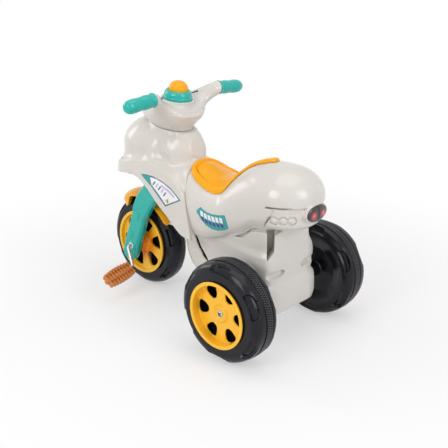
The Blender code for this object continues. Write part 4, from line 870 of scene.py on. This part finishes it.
def ribs(name, centre, side, body, rows, radius, count):
    """Rows of short raised bars across the tread."""
    verts, faces = [], []
    half_turn = 0.3 * 2 * math.pi / count
    for row, (x0, x1) in enumerate(rows):
        for k in range(count):
            turn = 2 * math.pi * (k + 0.5 * (row % 2)) / count
            base = len(verts)
            for inset, r in ((0.0, radius - 0.0034), (0.0, radius - 0.0004), (0.0005, radius)):
                for x, t in ((x0 + inset, -1), (x1 - inset, -1), (x1 - inset, 1), (x0 + inset, 1)):
                    swing = turn + t * (half_turn - inset / radius * 0.6)
                    verts.append((side * x, centre.y + r * math.cos(swing), centre.z + r * math.sin(swing)))
            bar = quads_between(3, 4, False) + [(8, 9, 10, 11), (3, 2, 1, 0)]
            faces += [tuple(base + i for i in quad) for quad in bar]
    if side > 0:
        faces = [f[::-1] for f in faces]
    # the bars take the lighter tread look, a painted sheen
    piece(name, verts, faces, SHEEN_TREAD, body, smooth=False)


def rim_shape(outline, centre, side, near, far, dish, wide, first):
    """Dished rim with six windows between the radii near and far; wide and first are angles."""
    half = [(near, 0.12), (near + 0.0025, 0.18), (near + 0.01, wide), (far - 0.008, wide + 0.01),
            (far - 0.0025, 0.8 * wide), (far, 0.09)]
    half = [(reach * math.cos(swing), reach * math.sin(swing)) for reach, swing in half]
    window = half + [(a, -b) for a, b in reversed(half)]

    def shape(x, y, z):
        u, v = y - centre.y, z - centre.z
        r = np.hypot(u, v)
        ring = to_outline(side * x, r, outline)
        turn = (np.arctan2(v, u) - first + math.pi / 6) % (math.pi / 3) - math.pi / 6
        hole = to_outline(r * np.cos(turn), r * np.sin(turn), window)
        raised = smax(slab(hole - 0.0012, 0.0009), slab(side * x - dish, 0.0008), 0.0006)
        made = smin(ring, raised, 0.001)
        return smax(made, -hole, 0.001)

    return shape


def cross(u, v):
    """The cross slot of a screw head."""
    plus, minus = np.abs(u + v), np.abs(u - v)
    return np.minimum(overlap(plus - 0.0021, minus - 0.008), overlap(minus - 0.0021, plus - 0.008))


def axle_screw(side, word):
    seat = 0.2069

    def screw(x, y, z):
        u, v = y - REAR_Y, z - REAR_AXLE.z
        r = np.hypot(u, v)
        a = side * x - seat
        disc = smax(r - 0.0082, a - 0.0016, 0.001)
        dome = np.sqrt(r * r + (a + 0.004) ** 2) - 0.0085
        made = smin(disc, overlap(dome, -a), 0.0008)
        made = smax(made, -overlap(cross(u, v), 0.0012 - a), 0.0004)
        return overlap(made, -a)

    def in_slot(x, y, z):
        return (cross(y - REAR_Y, z - REAR_AXLE.z) < 0.0002) & (side * x > seat + 0.0007)

    box = side_box(side, 0.206, 0.213, (REAR_Y - 0.0095, 0.1155), (REAR_Y + 0.0095, 0.1345))
    made = carved(f"axle_screw_{word}", screw, box, fine(0.0003), STEEL, "frame",
                  f"axle_cap_{word}")
    # painted shade inside the screw's cross slot
    paint_shade(made, in_slot)


def rear_wheel(side, word):
    body = f"{word}_wheel"
    profile = thick_profile(softened(REAR_TYRE, 0.0012, parts=2), TYRE_STEP, TYRE_FINE_FROM)
    zones = [((0.2172, 0.1056), 0.113, 0.032, 0.0275, 1.0), ((0.1424, 0.105), 0.112, 0.03, 0.0225, -1.0)]
    tyre(f"tyre_{word}", profile, zones, 27, REAR_AXLE, body, f"rear_tyre_{word}", side)
    ribs(f"tread_ribs_{word}", REAR_AXLE, side, body, RIB_ROWS, radius=0.12495, count=138)
    shape = rim_shape(REAR_RIM, REAR_AXLE, side, near=0.0392, far=0.0722, dish=0.204, wide=0.262,
                      first=0.0)
    box = side_box(side, 0.199, 0.2265, (REAR_Y - 0.086, 0.039), (REAR_Y + 0.086, 0.211))
    carved(f"rim_{word}", shape, box, fine(0.0008), YELLOW, body, f"rear_rim_{word}")
    axle_screw(side, word)


def front_wheel():
    half = [(0.0207, 0.0048)] + softened(FRONT_TYRE, 0.001, closed=False, parts=2)
    outline = half + [(-x, r) for x, r in reversed(half)]
    profile = thick_profile(outline, TYRE_STEP, TYRE_FINE_FROM)
    zones = [((way * 0.0292, 0.1115), 0.118, 0.026, 0.017, way) for way in (1.0, -1.0)]
    tyre("tyre_front", profile, zones, 19, FRONT_AXLE, "front_wheel", "front_tyre")
    for word, side in SIDES.items():
        shape = rim_shape(FRONT_RIM, FRONT_AXLE, side, near=0.0345, far=0.0778, dish=0.028, wide=0.285,
                          first=math.radians(10))
        box = side_box(side, 0.019, 0.0455, (FRONT_Y - 0.097, 0.0315), (FRONT_Y + 0.097, 0.226))
        # the deeper orange round the hub is painted shade
        carved(f"front_wheel_rim_{word}", shape, box, fine(0.0009), HUB_SHADED_YELLOW, "front_wheel",
               f"front_rim_{word}")


def make_rear_axle():
    rod = [(-0.2035, 0.0), (-0.2035, 0.005), (0.2035, 0.005), (0.2035, 0.0)]
    revolved("rear_axle_rod", softened(rod, 0.0008), 32, Matrix.Translation(REAR_AXLE), STEEL, "frame",
             "rear_axle")


# Fork and fender

LEG_LINE = mm([(-15, -24.7), (0, 17.3), (14, 51.3), (27, 85.3), (34, 107.3), (52, 139.3), (77, 167.3)])
LEG_BARS = mm([(29, 93), (-1, 32)])
BAR_TURN = math.radians(68)
LEG_MIDDLE, LEG_FACE = 0.061, 0.072
FENDER_SIDE, FENDER_RADIUS, FENDER_ARCH = 0.047, 0.1375, 0.011


def fork_shape(x, y, z):
    u, d, rise = np.abs(x), y - FRONT_Y, z - FRONT_AXLE.z
    height, off, stem_away = steering_places(x, y, z)
    crown = smax(slab(height + 0.00395, 0.02105), slab(off, 0.03), 0.008)
    crown = smax(crown, u - LEG_FACE, 0.008)
    away, t = to_line(d, rise, LEG_LINE)
    reach = 0.026 + 0.0045 * smooth_step((t - 0.5) / 0.3)
    leg = smax(away - reach, slab(u - LEG_MIDDLE, 0.011), 0.004)
    bevel = 0.78 * (away - reach) + 0.62 * (u - LEG_FACE) + 0.0042
    leg = smax(smax(leg, bevel, 0.0015), height - 0.0171, 0.004)
    step = smax(slab(rise - 0.118 - 0.55 * (d - 0.04), 0.0012), 0.0706 - u, 0.0008)
    leg = smax(leg, -step, 0.0012)
    made = smin(crown, leg, 0.006)
    c, s = math.cos(BAR_TURN), math.sin(BAR_TURN)
    for bar_y, bar_z in LEG_BARS:
        a = (d - bar_y) * c + (rise - bar_z) * s
        b = -(d - bar_y) * s + (rise - bar_z) * c
        bar = smax(smax(slab(a, 0.0125), slab(b, 0.0062), 0.002), slab(u - 0.0722, 0.0014), 0.0008)
        made = smin(made, bar, 0.0006)
    nub = smax(np.hypot(d, rise) - 0.0118, slab(u - 0.0715, 0.0022), 0.0015)
    made = smin(made, nub, 0.002)
    made = overlap(made, BORE - np.hypot(d, rise))
    made = overlap(made, -overlap(stem_away - BORE, -0.006 - height))
    for place in FENDER_SCREWS:
        made = overlap(made, -overlap(np.hypot(x, off - place) - SCREW_BORE, height + 0.0087))
    return made


def make_fork():
    box = (-0.078, FRONT_Y - 0.046, 0.072), (0.078, FRONT_Y + 0.125, 0.335)
    carved("fork_moulding", fork_shape, box, fine(0.0015), TEAL, "steering", "fork")


def tyre_top(x):
    """Height of the front tyre's tread over its axle, carried on a little past its side."""
    reach, height = zip(*sorted(FRONT_TYRE[4:]))
    return float(np.interp(abs(x), reach + (0.036,), height[:-1] + (0.112, 0.108)))


def past(value, start, end):
    """Share of the way from start to end that a value has gone, and 0 before the start."""
    return max(0.0, (value - start) / (end - start))


def fender_ring(share, across):
    """Places (across, radius) round the fender's section, share of the way from its rear to its front."""
    ahead = past(share, 0.62, 1.0)
    narrow = math.sqrt(1.0 - 0.8 * ahead ** 3) * math.sqrt(1.0 - 0.45 * past(share, 0.07, 0.0) ** 3)
    curl = 0.004 * past(share, 0.06, 0.0) ** 2
    fill = float(smooth_step((share - 0.7) / 0.15))
    nose = 1 - math.sqrt(1 - 0.97 * past(share, 0.87, 1.0) ** 2)
    under, over = [], []
    for n in range(across + 1):
        w = -1 + 2 * n / across
        x = FENDER_SIDE * w
        lip = 0.0012 * past(abs(w), 0.88, 1.0) ** 2
        rib = 0.0009 * math.exp(-((abs(w) - 0.8) / 0.05) ** 2)
        base = FENDER_RADIUS + FENDER_ARCH * (1 - w ** 2) - 0.007 * ahead * abs(w) ** 2.5 - curl
        low = base + 0.0002 + fill * (tyre_top(narrow * x) + 0.002 - base)
        high = base + 0.0034 - lip + rib
        under.append((narrow * x, low))
        over.append((narrow * x, high - nose * max(0.0, high - low - 0.003)))
    return under + over[::-1]


def fender_boss(x, y, z):
    height, off, _ = steering_places(x, y, z)
    block = smax(smax(slab(x, 0.012), slab(off, 0.026), 0.004), height + 0.0253, 0.001)
    away = np.hypot(y - FRONT_Y, z - FRONT_AXLE.z)
    made = smax(block, FENDER_RADIUS + FENDER_ARCH + 0.0012 - away, 0.001)
    for place in FENDER_SCREWS:
        made = overlap(made, SCREW_BORE - np.hypot(x, off - place))
    return made


def make_fender():
    start, end = math.radians(35), math.radians(127.5)
    count, across = fine((110, 36))
    verts = []
    for k in range(count + 1):
        turn = start + (end - start) * k / count
        verts += [(x, FRONT_Y + r * math.cos(turn), FRONT_AXLE.z + r * math.sin(turn))
                  for x, r in fender_ring(k / count, across)]
    width = 2 * (across + 1)
    faces = [(a, d, c, b) for a, b, c, d in quads_between(count + 1, width, False)]
    for n in range(across):
        cap = n, n + 1, width - 2 - n, width - 1 - n
        faces.append(cap)
        faces.append(tuple(count * width + i for i in reversed(cap)))
    piece("fender_shell", verts, faces, ORANGE, "steering", "front_fender", sharp=50)
    box = (-0.015, CROWN.y - 0.045, 0.235), (0.015, CROWN.y + 0.04, 0.292)
    carved("fender_boss", fender_boss, box, 0.0016, ORANGE, "steering")


# Crank and pedals

CRANK_TURN, PIN_SPLAY, PEDAL_PITCH = math.radians(-61), math.radians(8), math.radians(-34)
CRANK_AWAY = Vector((0.0, math.cos(CRANK_TURN), math.sin(CRANK_TURN)))
CRANK_REACH, CRANK_SIDE, PIN_REACH, BEND = 0.058, 0.094, 0.102, 0.009
PEDAL_START, PEDAL_WIDTH, PEDAL_RIBS, RIB_WIDTH = 0.008, 0.09, 9, 0.0072


def crank_end(side):
    return FRONT_AXLE + side * (CRANK_AWAY * CRANK_REACH + Vector((CRANK_SIDE, 0.0, 0.0)))


def pin_direction(side):
    return side * (math.cos(PIN_SPLAY) * Vector((1.0, 0.0, 0.0)) + math.sin(PIN_SPLAY) * CRANK_AWAY)


def pin_frame(side):
    """Frame of a pedal: X runs out along the crank's pin, Z stands on the pedal."""
    out = pin_direction(side)
    up = Vector((0.0, -math.sin(PEDAL_PITCH), math.cos(PEDAL_PITCH)))
    back = up.cross(out).normalized()
    up = out.cross(back)
    return Matrix.Translation(crank_end(side)) @ Matrix((out, back, up)).transposed().to_4x4()


def make_crank():
    shift = Vector((0.086, 0.0, 0.0))
    corners = [crank_end(1) + pin_direction(1) * PIN_REACH, crank_end(1), FRONT_AXLE + shift,
               FRONT_AXLE - shift, crank_end(-1), crank_end(-1) + pin_direction(-1) * PIN_REACH]
    path = [corners[0]]
    for before, corner, after in zip(corners, corners[1:], corners[2:]):
        a, b = (before - corner).normalized(), (after - corner).normalized()
        path += arc(corner + a * BEND, corner, corner + b * BEND, 8)
    path.append(corners[-1])
    tube("crank_rod", path, 0.0045, 24, STEEL, "front_wheel", "crank_axle")


def make_pedal(side, word):
    placed = pin_frame(side)
    back = placed.inverted()
    turned, moved = np.array(back.to_3x3()), np.array(back.translation)
    pitch = (PEDAL_WIDTH - RIB_WIDTH) / (PEDAL_RIBS - 1)

    def shape(x, y, z):
        a, u, v = [row[0] * x + row[1] * y + row[2] * z + part for row, part in zip(turned, moved)]
        a, u, v = a - PEDAL_START, np.abs(u), np.abs(v)
        middle = a - PEDAL_WIDTH / 2
        rib = np.clip(np.round((a - RIB_WIDTH / 2) / pitch), 0, PEDAL_RIBS - 1)
        half = 0.0186 + 0.005 * np.sin(math.pi * np.clip(a / PEDAL_WIDTH, 0.0, 1.0)) ** 0.8
        bar = slab(a - RIB_WIDTH / 2 - rib * pitch, RIB_WIDTH / 2) + 0.0003
        bar = smax(smax(bar, v - 0.0085, 0.0014), u - half, 0.003)
        notch = smax(0.008 - u, u - 0.0105, 0.001)
        bar = smax(bar, -overlap(notch, 0.0066 - v), 0.0008)
        spine = overlap(slab(middle, PEDAL_WIDTH / 2) + 0.0006, u - half + 0.003, v - 0.003)
        spine = smax(spine, -overlap(0.0068 - u, u - half + 0.0068), 0.0008)
        rail = overlap(slab(u - half + 0.0052, 0.0018), slab(middle, PEDAL_WIDTH / 2) + 0.001)
        spine = np.minimum(spine, smax(rail, v - 0.0062, 0.0012))
        barrel = overlap(np.hypot(u, v) - 0.007, slab(middle, PEDAL_WIDTH / 2))
        made = smin(smin(bar, spine, 0.0008), barrel, 0.0008)
        return overlap(made, 0.0048 - np.hypot(u, v))

    corners = [placed @ Vector((a, u, v)) for a in (0.004, 0.102) for u in (-0.026, 0.026)
               for v in (-0.011, 0.011)]
    box = [[pick(c[i] for c in corners) for i in range(3)] for pick in (min, max)]
    carved(f"pedal_block_{word}", shape, box, fine(0.0007), BROWN, f"{word}_pedal",
           f"pedal_{word}")
    cap = mm([(98.3, 4.8), (98.3, 7.8), (99.8, 7.8), (103.2, 6), (104, 3), (104, 0), (102.3, 0),
              (102.3, 4.8)])
    revolved(f"pedal_end_cap_{word}", softened(cap, 0.0008), 48, placed, BROWN, "front_wheel",
             f"pedal_cap_{word}")


# Handlebar, grips and horn

# The pod by place across: place behind the front axle, height, half depth and half height
POD = ((0, 95, 517, 80, 35), (20, 97, 517, 78.4, 35), (40, 103, 518, 69.6, 34.3),
       (56, 111, 525, 54.4, 30.8), (70, 121, 536, 38.4, 25.9), (84, 135, 549, 26.4, 21.7),
       (98, 149, 561, 20, 19.6), (114.5, 158, 568.5, 17.76, 17.675))
POD_Y, POD_Z, POD_A, POD_B = [along([(row[0], row[k]) for row in POD]) for k in (1, 2, 3, 4)]
GRIP_X, GRIP_Y, GRIP_Z = 0.1155, 0.158, 0.5685
GRIP = mm([(0, 11.3), (0, 18.4), (3, 18.6), (5.2, 17.4), (8.5, 16.4), (16, 17.6), (26, 18.1), (36, 17.4),
           (44, 16.8), (54, 17.6), (64, 18.1), (74, 17.6), (81, 16), (86.2, 13.2), (89.6, 9.2), (91.1, 5),
           (91.5, 1), (91.5, 0), (84.3, 0), (84.3, 11.3)])
GRIP_ROUNDING = [0.0] + [0.0008] * 3 + [0.003] * 11 + [0.002, 0.001, 0.0, 0.0, 0.0]
DROOP = math.radians(4.5)
# The horn by height along the steering axis
HORN = mm([(242.8, 0), (242.8, 37.4), (244.3, 38), (251.3, 38), (253.3, 37.2), (254, 36.2), (255, 36.6),
           (260.3, 35.6), (265.3, 33.2), (268, 30), (268.4, 28), (267.4, 26.2), (246.8, 26.2),
           (246.8, 0)])
HORN_ROUNDING = [0.0, 0.0006, 0.0006, 0.001, 0.0004, 0.0003, 0.0004, 0.002, 0.002, 0.0015, 0.001,
                 0.0008, 0.0, 0.0]
DOME_FOOT, DOME_TIP, DOME_RADIUS, DOME_INNER = 0.2695, 0.2918, 0.0256, 0.0221


def handlebar_shape(x, y, z):
    u, d = np.abs(x), y - FRONT_Y
    a, b = POD_A(u), POD_B(u)
    pod = (oval(d - POD_Y(u), z - POD_Z(u), a, b) - 1) * np.minimum(a, b)
    lean = u - math.tan(DROOP) * (z - GRIP_Z)
    line = GRIP_Z - math.tan(DROOP) * (u - GRIP_X)
    stub = overlap(np.hypot(d - GRIP_Y, z - line) - 0.0108, lean - 0.1972, 0.1 - u)
    made = smin(smax(pod, lean - 0.1147, 0.002), stub, 0.001)
    height, off, away = steering_places(x, y, z)
    low = COLLAR + 0.0009
    skirt = pod - 0.0024 * smooth_step((0.082 - u) / 0.03)
    made = smin(made, smax(skirt, z - 0.5265 + 0.05 * u, 0.001), 0.0008)
    flare = 0.3 * np.maximum(height - low - 0.003, 0.0)
    neck = (oval(x, off + 0.008, 0.0465 + flare, 0.059 + flare) - 1) * 0.045
    made = smin(made, overlap(neck, height - 0.212, low - height), 0.012)
    made = smax(made, low - height, 0.0008)
    ring = overlap(away - 0.0445, height - 0.2455, 0.22 - height)
    made = smin(made, ring, 0.006)
    made = smax(made, -overlap(away - 0.0384, 0.2425 - height), 0.0015)
    for radius, floor_height in ((0.016, 0.2205), (0.0063, 0.2155)):
        made = overlap(made, -overlap(away - radius, floor_height - height))
    return overlap(made, -overlap(away - BORE, height - 0.2165))


def make_handlebar():
    box = (-0.202, FRONT_Y + 0.003, 0.468), (0.202, FRONT_Y + 0.198, 0.592)
    return carved("handlebar_pod", handlebar_shape, box, fine(0.0015), IVORY, "steering",
                  "handlebar")


def grip_dimples(a, r, t):
    return a, r - 0.0009 * (np.cos(t * 2) * 0.5 + 0.5) * smooth_step((a - 0.008) / 0.01) * (r > 0.0125)


def make_grip(side, word):
    placed = Matrix.Translation((side * GRIP_X, FRONT_Y + GRIP_Y, GRIP_Z))
    placed = placed @ Matrix.Rotation(side * DROOP, 4, "Y")
    if side < 0:
        placed = placed @ Matrix.Scale(-1, 4, (1, 0, 0))
    profile = softened(GRIP, GRIP_ROUNDING, parts=4)
    made = revolved(f"grip_cover_{word}", profile, 96, placed, TEAL, "steering", f"grip_{word}",
                    shift=grip_dimples, sharp=60)
    if side < 0:
        made.data.flip_normals()


def make_horn():
    revolved("horn_housing", softened(HORN, HORN_ROUNDING), 120, STEER_UP, TEAL, "steering", "horn_base")
    dome = [(0.2545, DOME_INNER), (0.2545, DOME_RADIUS), (DOME_FOOT, DOME_RADIUS)]
    for angle in range(6, 90, 6):
        turn = math.radians(angle)
        height = DOME_FOOT + (DOME_TIP - DOME_FOOT) * math.sin(turn)
        dome.append((height, DOME_RADIUS * math.cos(turn) ** 0.92))
    dome += [(DOME_TIP, 0.0), (0.2709, 0.0), (0.2709, 0.012), (DOME_TIP - 0.009, 0.013),
             (0.2665, DOME_INNER)]
    revolved("horn_dome", dome, 96, STEER_UP, ORANGE, "horn", "horn_button")


# Tail lamp


def make_tail_lights():
    face = REAR_Y + LAMP_FACE + 0.0003
    for word, side in SIDES.items():

        def shape(x, y, z):
            q = oval(x, z - LAMP_HEIGHT, 0.037, 0.0205)
            round_off = 0.006 * np.sqrt(np.clip(1 - np.minimum(q, 1.0) ** 4, 0.0, 1.0))
            made = smax((q - 1) * 0.023, y - face - np.maximum(round_off, 0.0012), 0.0012)
            return smax(overlap(made, face - y), 0.001 - side * x, 0.0012)

        box = side_box(side, -0.001, 0.0385, (face - 0.0015, 0.325), (face + 0.0075, 0.369))
        carved(f"tail_lens_{word}", shape, box, fine(0.0005), LENS, "frame", f"tail_light_{word}")


# Decals: plain shapes that lie on the shells


def sight(seen_from, side, u, v):
    """Start and way of the line of sight that lays a point of a decal on its shell."""
    if seen_from == "top":
        return Vector((side * u, FRONT_Y + v, 0.75)), Vector((0, 0, -1))
    if seen_from == "front":
        return Vector((u, -0.6, v)), Vector((0, 1, 0))
    return Vector((side * 0.3, REAR_Y + u, v)), Vector((-side, 0, 0))


def sticker(name, ink, lift, outline, target, side, body="frame", seen_from="side"):
    """Thin closed film laid on a shell along a line of sight, from an outline and a lift in mm."""
    outline = mm(outline)
    edge = []
    for a, b in zip(outline, outline[1:] + outline[:1]):
        edge += stepped(a, b, 0.0015, math.floor)
    us, vs = [p[0] for p in edge], [p[1] for p in edge]
    grid = [(u, v) for u in np.arange(min(us), max(us), 0.0016) for v in np.arange(min(vs), max(vs), 0.0016)]
    grid = np.array(grid)
    inside = to_outline(grid[:, 0], grid[:, 1], edge) < -0.0008
    points = [Vector(p) for p in edge] + [Vector(p) for p in grid[inside]]
    places, _, flat, *_ = delaunay_2d_cdt(points, [], [list(range(len(edge)))], 1, 1e-6)
    top, low = [], []
    for u, v in places:
        start, way = sight(seen_from, side, u, v)
        hit, normal, _, _ = target.ray_cast(start, way)
        if normal.dot(way) > 0:
            normal = -normal
        top.append(tuple(hit + normal * lift / 1000))
        low.append(tuple(hit - normal * 0.0002))
    faces = [tuple(f) for f in flat]
    centre = Vector(top[faces[0][0]])
    a, b = Vector(top[faces[0][1]]) - centre, Vector(top[faces[0][2]]) - centre
    if a.cross(b).dot(way) > 0:
        faces = [f[::-1] for f in faces]
    rim = dict.fromkeys(pair for f in faces for pair in zip(f, f[1:] + f[:1]))
    count = len(top)
    made = faces + [tuple(i + count for i in f[::-1]) for f in faces]
    made += [(j, i, i + count, j + count) for i, j in rim if (j, i) not in rim]
    piece(name, top + low, made, DECALS[ink], body, sharp=60)


def repeated(name, inks, lift, outline, spots):
    """The same decal at several spots, with its inks taken in turn."""
    return [(f"{name}_{k}", inks[k % len(inks)], lift, [(a + du, b + dv) for du, dv in outline])
            for k, (a, b) in enumerate(spots)]


# Name, ink, lift over the shell and outline, in millimetres behind the rear axle and over the ground
WING_DECALS = [
    ("wing_film", "grey", 0.25, [(-383, 362.5), (-364, 364), (-343, 362), (-312, 355), (-282, 344),
                                 (-262, 331), (-244, 318), (-292, 293), (-322, 317), (-351, 341)]),
    ("wing_field", "white", 0.4, [(-352, 359), (-330, 357), (-305, 350), (-281, 340), (-263, 328),
                                   (-250, 318.5), (-291, 298), (-318, 320), (-345, 341)]),
    ("wing_tip", "teal", 0.4, [(-378, 361.5), (-363, 362), (-354, 360), (-347, 344), (-352, 343)]),
    ("wing_trail", "pink", 0.55, [(-312, 346), (-282, 335), (-264, 323), (-268, 320.5), (-286, 331.5),
                                  (-313, 342)]),
    ("wing_tile", "sand", 0.7, [(-290, 302), (-280, 307), (-284, 316), (-296, 309)]),
    ("wing_tile_bar", "black", 0.85, [(-286, 303.8), (-284, 304.8), (-287, 313.2), (-289, 312)]),
    *repeated("wing_slant", ("grey", "pink"), 0.55, [(0, 13), (4.5, 12), (-2.5, 1), (-6, 3.5)],
              [(-336, 338), (-326, 334), (-316, 329), (-306, 323.5), (-297, 316.5)])]
FOOT_SPOTS = [(-164, 303.5), (-151, 300.5), (-138, 299), (-125, 298.6), (-112, 299.4), (-99, 301.5)]
FLANK_DECALS = [
    ("flank_film", "teal", 0.25, [(-186, 304), (-180, 312), (-171, 319), (-160, 314.5), (-146, 311),
                                  (-128, 310.5), (-108, 313), (-88, 318), (-82, 305), (-77, 286),
                                  (-92, 277), (-112, 271.5), (-132, 271), (-151, 277), (-170, 290)]),
    *repeated("flank_bar", ("white",), 0.4, [(-7, 7), (2.6, 5.6), (5.6, -7.2), (-4.6, -5.8)], FOOT_SPOTS),
    *repeated("flank_dash", ("navy",), 0.4, [(-3.5, -8.6), (6.2, -10), (8.4, -18.4), (-0.6, -17)],
              FOOT_SPOTS)]
# Seen from above: across, and behind the front axle
SWITCH_MARKS = [[(33, 101), (47.5, 109), (47.5, 117), (36, 110)], [(37, 95), (42, 97), (41, 101), (36, 99)],
                [(58, 119.5), (69, 131), (72.5, 126.5), (61.5, 115)],
                [(55, 113), (58.5, 116), (60.5, 113.5), (57, 111)]]
NOSE_SIDE, NOSE_HEIGHT, NOSE_MIDDLE = 55, 26, 425


def nose_oval(wide, high):
    """A squarish oval in the middle of the nose, as shares of the whole sticker."""
    made = []
    for k in range(40):
        c, s = math.cos(2 * math.pi * k / 40), math.sin(2 * math.pi * k / 40)
        made.append((wide * NOSE_SIDE * math.copysign(abs(c) ** 0.6, c),
                     NOSE_MIDDLE + high * NOSE_HEIGHT * math.copysign(abs(s) ** 0.7, s)))
    return made


def make_decals(*shells):
    body, fairing, bar = [BVHTree.FromPolygons([v.co.copy() for v in shell.data.vertices],
                                               [tuple(p.vertices) for p in shell.data.polygons])
                          for shell in shells]
    for word, side in SIDES.items():
        for decals, target in ((WING_DECALS, fairing), (FLANK_DECALS, body)):
            for name, ink, lift, outline in decals:
                sticker(f"{name}_{word}", ink, lift, outline, target, side)
        for k, outline in enumerate(SWITCH_MARKS):
            sticker(f"switch_mark_{k}_{word}", "black", 0.3, outline, bar, side, "steering", "top")
    sticker("nose_film", "pink", 0.25, nose_oval(1.0, 1.0), fairing, 1, seen_from="front")
    sticker("nose_field", "white", 0.4, nose_oval(0.94, 0.86), fairing, 1, seen_from="front")


body = make_body()
fairing = make_fairing()
make_seat()
for word, side in SIDES.items():
    rear_wheel(side, word)
    make_pedal(side, word)
    make_grip(side, word)
front_wheel()
make_fork()
make_fender()
make_crank()
bar = make_handlebar()
make_horn()
make_tail_lights()
make_rear_axle()
make_decals(body, fairing, bar)

# Looks of the solids that stay as they are
for name in ("steering_stem", "stem_nut", "horn_spring", "fender_screw_front", "fender_screw_rear"):
    bpy.data.objects[name].material_slots[0].material = STEEL
for name in ("axle_bush_left", "axle_bush_right", "steering_bush_upper", "steering_bush_lower",
             "crank_bush_left", "crank_bush_right"):
    bpy.data.objects[name].material_slots[0].material = NYLON


# Light and ground


def background_rays(tree):
    """1 for rays that show the background: those of the camera, of mirrors and of clear pieces."""
    path = tree.nodes.new("ShaderNodeLightPath")
    total = path.outputs["Is Camera Ray"]
    for ray in ("Is Glossy Ray", "Is Transmission Ray"):
        total = node(tree, "ShaderNodeMath", {0: total, 1: path.outputs[ray]}, operation="MAXIMUM")
    return total


def area_light(name, place, aim, size, power, color=(1, 1, 1)):
    data = bpy.data.lights.new(name, "AREA")
    data.shape = "RECTANGLE"
    data.size, data.size_y = size
    data.energy = power
    data.color = color
    lamp = bpy.data.objects.new(name, data)
    bpy.context.collection.objects.link(lamp)
    lamp.location = place
    lamp.rotation_euler = (Vector(aim) - Vector(place)).to_track_quat("-Z", "Y").to_euler()


world = bpy.data.worlds.new("studio")
bpy.context.scene.world = world
world.use_nodes = True
tree = world.node_tree
tree.nodes.clear()
glow, seen = [node(tree, "ShaderNodeBackground", {"Color": (1, 1, 1, 1), "Strength": strength})
              for strength in (0.5, 1.0)]
pick = node(tree, "ShaderNodeMixShader", {"Fac": background_rays(tree), 1: glow, 2: seen})
node(tree, "ShaderNodeOutputWorld", {"Surface": pick})

area_light("key", (2.15, 0.25, 1.65), (0, 0, 0.25), (1.1, 1.3), 20.5)
area_light("top", (-0.2, 0.3, 2.6), (0, 0, 0.2), (1.8, 1.8), 12.5)
area_light("rear", (-0.1, 2.3, 1.4), (0, 0, 0.28), (1.1, 1.3), 17, (0.93, 0.93, 1.0))
area_light("front", (0.6, -2.0, 1.3), (0, 0, 0.3), (0.9, 1.3), 10)

floor_mesh = bpy.data.meshes.new("floor")
floor_mesh.from_pydata([(-30, -30, 0), (30, -30, 0), (30, 30, 0), (-30, 30, 0)], [], [(0, 1, 2, 3)])
floor = bpy.data.objects.new("floor", floor_mesh)
bpy.context.collection.objects.link(floor)
ground, tree, matt = new_look("floor")
feed(tree, matt, {"Base Color": (0.9, 0.9, 0.91, 1), "Roughness": 0.6, "Specular IOR Level": 0.2})
away = distance(tree, object_places(tree), (0, 0, 0), (1, 1, 0))
fade = node(tree, "ShaderNodeMapRange", {"Value": away, "From Min": 0.35, "From Max": 1.25, "To Min": 0.45},
            interpolation_type="SMOOTHSTEP")
share = node(tree, "ShaderNodeMath", {0: fade, 1: background_rays(tree)}, operation="MULTIPLY")
white = node(tree, "ShaderNodeEmission")
blend = node(tree, "ShaderNodeMixShader", {"Fac": share, 1: matt.outputs[0], 2: white})
feed(tree, tree.nodes["Material Output"], {"Surface": blend})
floor_mesh.materials.append(ground)

bpy.context.scene.view_settings.view_transform = "Standard"
